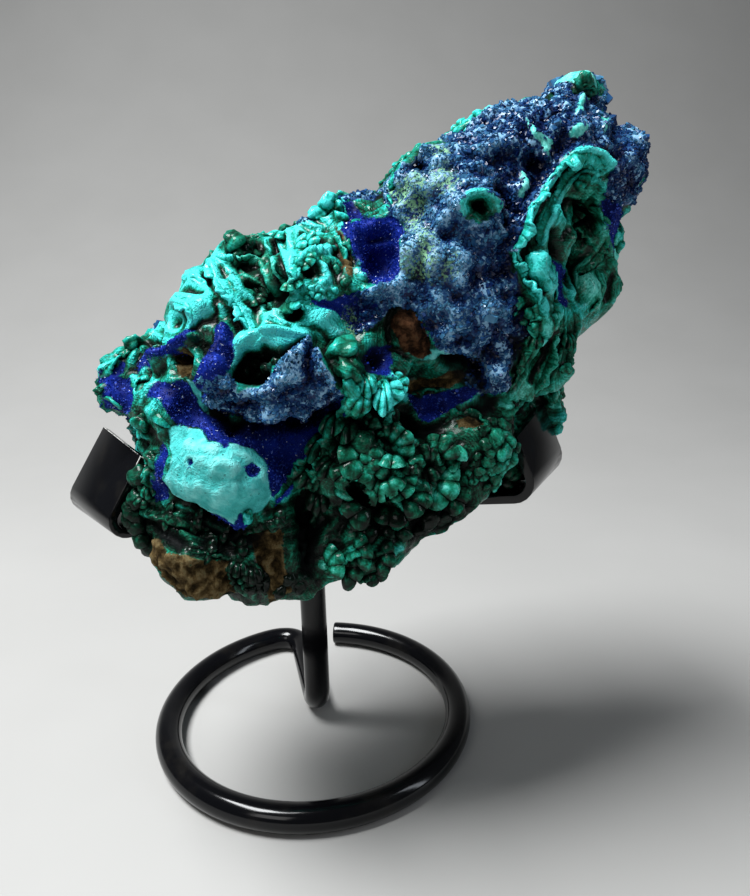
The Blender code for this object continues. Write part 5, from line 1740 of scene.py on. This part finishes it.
def strewn_spots(wanted, spacing):
    """Random places on the skin, spacing mm apart on average, where wanted is above chance."""
    normals, areas, a, b = faces_of(skin)
    corners = points_of(skin)
    many = DICE.poisson(wanted[a] * areas / (spacing * MM) ** 2)
    face = np.repeat(np.arange(len(areas)), many)
    share = DICE.random((len(face), 1)) * 0.9 + 0.05
    return corners[a[face]] * share + corners[b[face]] * (1 - share), normals[face], a[face]


def seat_axes(normals, lean):
    """Three axes for each copy: its height leans at random off the skin's normal."""
    up = normals + lean * DICE.normal(size=normals.shape)
    up /= np.linalg.norm(up, axis=1)[:, None]
    side = np.cross(up, DICE.normal(size=normals.shape))
    side /= np.linalg.norm(side, axis=1)[:, None]
    return side, np.cross(up, side), up


def strew(name, model, places, axes, sizes, tones, opens):
    """One mesh of many copies of a model, each scaled by its three sizes, in mm."""
    shape, sides = points_and_sides(model)
    shape = np.array(shape)
    points = places[:, None] + sum(
        axis[:, None] * (shape[None, :, k] * sizes[:, None, k] * MM)[:, :, None] for k, axis in enumerate(axes)
    )
    points = np.clip(points, lowest, highest)
    start = len(shape) * np.arange(len(places))[:, None]
    corners = np.concatenate([np.array(side)[None] + start for side in sides])
    piece = new_piece(name, points.reshape(-1, 3), corners.tolist())
    remember(piece, "tone", np.repeat(tones, len(shape)))
    remember(piece, "open", np.repeat(opens, len(shape)))
    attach(piece, "root")
    print(size_of(piece))
    return piece


# %% One azurite crystal, copied over the blue block
crystal = new_model("crystal", bpy.ops.mesh.primitive_cube_add, size=1)
unpick_mesh()
for face in crystal.data.polygons:
    face.select = face.normal.z > 0.9
with edit_mode():
    bpy.ops.mesh.select_mode(type="FACE")
    bpy.ops.transform.resize(value=(0.55, 0.85, 1.0))
    bpy.ops.transform.translate(value=(0.12, 0.05, 0.0))
PALE_BLUE = [
    384, 192, 400, 180, 430, 156, 462, 176, 466, 215, 474, 250, 466, 290, 440, 318, 404, 302, 392, 290, 404, 272,
    408, 242, 404, 224, 392, 212,
]
# Where the crystals are darker: partly a deeper blue, and partly painted shade under the ledge, under the block and
# in the hollow beside the chimney
DEEP_BLUE_AND_SHADE = [
    [204, 396, 230, 402, 262, 408, 300, 402, 330, 394, 350, 400, 330, 420, 262, 424, 206, 414],
    [486, 176, 512, 170, 544, 176, 546, 196, 528, 222, 504, 226, 490, 206],
    [484, 330, 530, 320, 530, 360, 508, 400, 480, 400],
    [520, 120, 560, 100, 570, 130, 548, 168, 516, 172, 500, 150],
    [596, 150, 650, 140, 660, 180, 610, 210, 596, 190], [448, 270, 500, 262, 508, 290, 470, 300, 446, 300],
]
deep = np.max([smoothstep(inside_by(spots, outline), -8, 8) for outline in DEEP_BLUE_AND_SHADE], axis=0) * shown
pale = smoothstep(inside_by(spots, PALE_BLUE), -10, 12) * shown
where = share("crystal", -0.1, 0.3) * (1 - 0.75 * share("dust")) * (1 - share("drip")) * (1 - 0.7 * share("black"))
crystal_sets = []
for name, side_share, spacing in (
    ("azurite_crystals_front", shown > 0.5, 0.46), ("azurite_crystals_back", shown <= 0.5, 1.0),
):
    found, found_normals, nearest = strewn_spots(where * side_share, spacing)
    sizes = spacing * DICE.lognormal(-0.12, 0.30, (len(found), 1)) * DICE.uniform(0.7, 1.2, (len(found), 3))
    sizes *= 1 - 0.25 * pale[nearest, None]
    tones = 0.30 * DICE.random(len(found)) + 0.30
    # Paler where the skin stands out and darker in its hollows: painted highlight and painted shade
    tones = tones + 0.22 * pale[nearest] - 0.20 * deep[nearest] + 0.2 * hollow[nearest]
    axes = seat_axes(found_normals, 0.5)
    crystal_sets.append(strew(name, crystal, found, axes, sizes, tones, open_skin[nearest]))
    remember(crystal_sets[-1], "dust", np.repeat(lay["dust"][nearest], len(crystal.data.vertices)))
bpy.data.objects.remove(crystal)

# %% One needle, copied over the velvet
needle = new_model(
    "needle", bpy.ops.mesh.primitive_cone_add, vertices=3, radius1=0.5, radius2=0, depth=1, end_fill_type="TRIFAN",
)
where = share("velvet", -0.2, 0.1) * (1 - share("crystal", 0, 0.4)) * (1 - 0.85 * share("black", -0.5, 0.5))
found, found_normals, nearest = strewn_spots(where, 0.36)
sizes = DICE.uniform(0.28, 0.52, (len(found), 1)) * np.array([[1.0, 1.0, 1.3]])
axes, tones = seat_axes(found_normals, 0.45), DICE.random(len(found))
needles = strew("azurite_needles", needle, found, axes, sizes, tones, open_skin[nearest])
bpy.data.objects.remove(needle)

# %% Their finishes
facets = Finish("azurite_crystal_faces")
facet_tone = facets.measured("tone") * 0.85 + facets.noise(3.5, detail=3) * 0.8 - 0.32
# Darker where little open air is seen: painted shade.
facet_tone = facet_tone + (facets.measured("open") - 0.85) * 0.8
facet_colour = facets.ramp(facet_tone, [
    (0.1, (0.0008, 0.003, 0.020)), (0.4, (0.003, 0.014, 0.075)), (0.62, (0.014, 0.064, 0.178)),
    (0.85, (0.066, 0.220, 0.370)),
])
dusty = facets.measured("dust") + (facets.noise(1.4, detail=3, rough=0.6) - 0.5) * 5
dusty = dusty.between(-0.6, 1.6) * facets.noise(0.6, detail=2).between(0.40, 0.58)
facets.wear(
    Base_Color=facets.mix(dusty * 0.75, facet_colour, (0.17, 0.40, 0.27)),
    Roughness=0.20, Specular_IOR_Level=0.20,
)
for piece in crystal_sets:
    put_on(piece, facets)
velvet = Finish("azurite_velvet")
tip = velvet.measured("tone")
# air: where little open air is seen the pile is painted nearly black, as painted shade.
air = velvet.measured("open").between(0.12, 0.90)
pile_colour = velvet.mix(tip, (0.003, 0.010, 0.130), (0.012, 0.042, 0.380))
pile_colour = velvet.mix(air, (0.0008, 0.0020, 0.022), pile_colour)
# Painted glints: a few needles are painted bright blue, and a very few nearly white.
pile_colour = velvet.mix(tip.between(0.86, 0.96) * 0.7 * air, pile_colour, (0.10, 0.20, 0.72))
pile_colour = velvet.mix(tip.between(0.975, 0.985), pile_colour, (0.75, 0.82, 1.0))
velvet.wear(Base_Color=pile_colour, Roughness=0.36, Specular_IOR_Level=0.15)
put_on(needles, velvet)
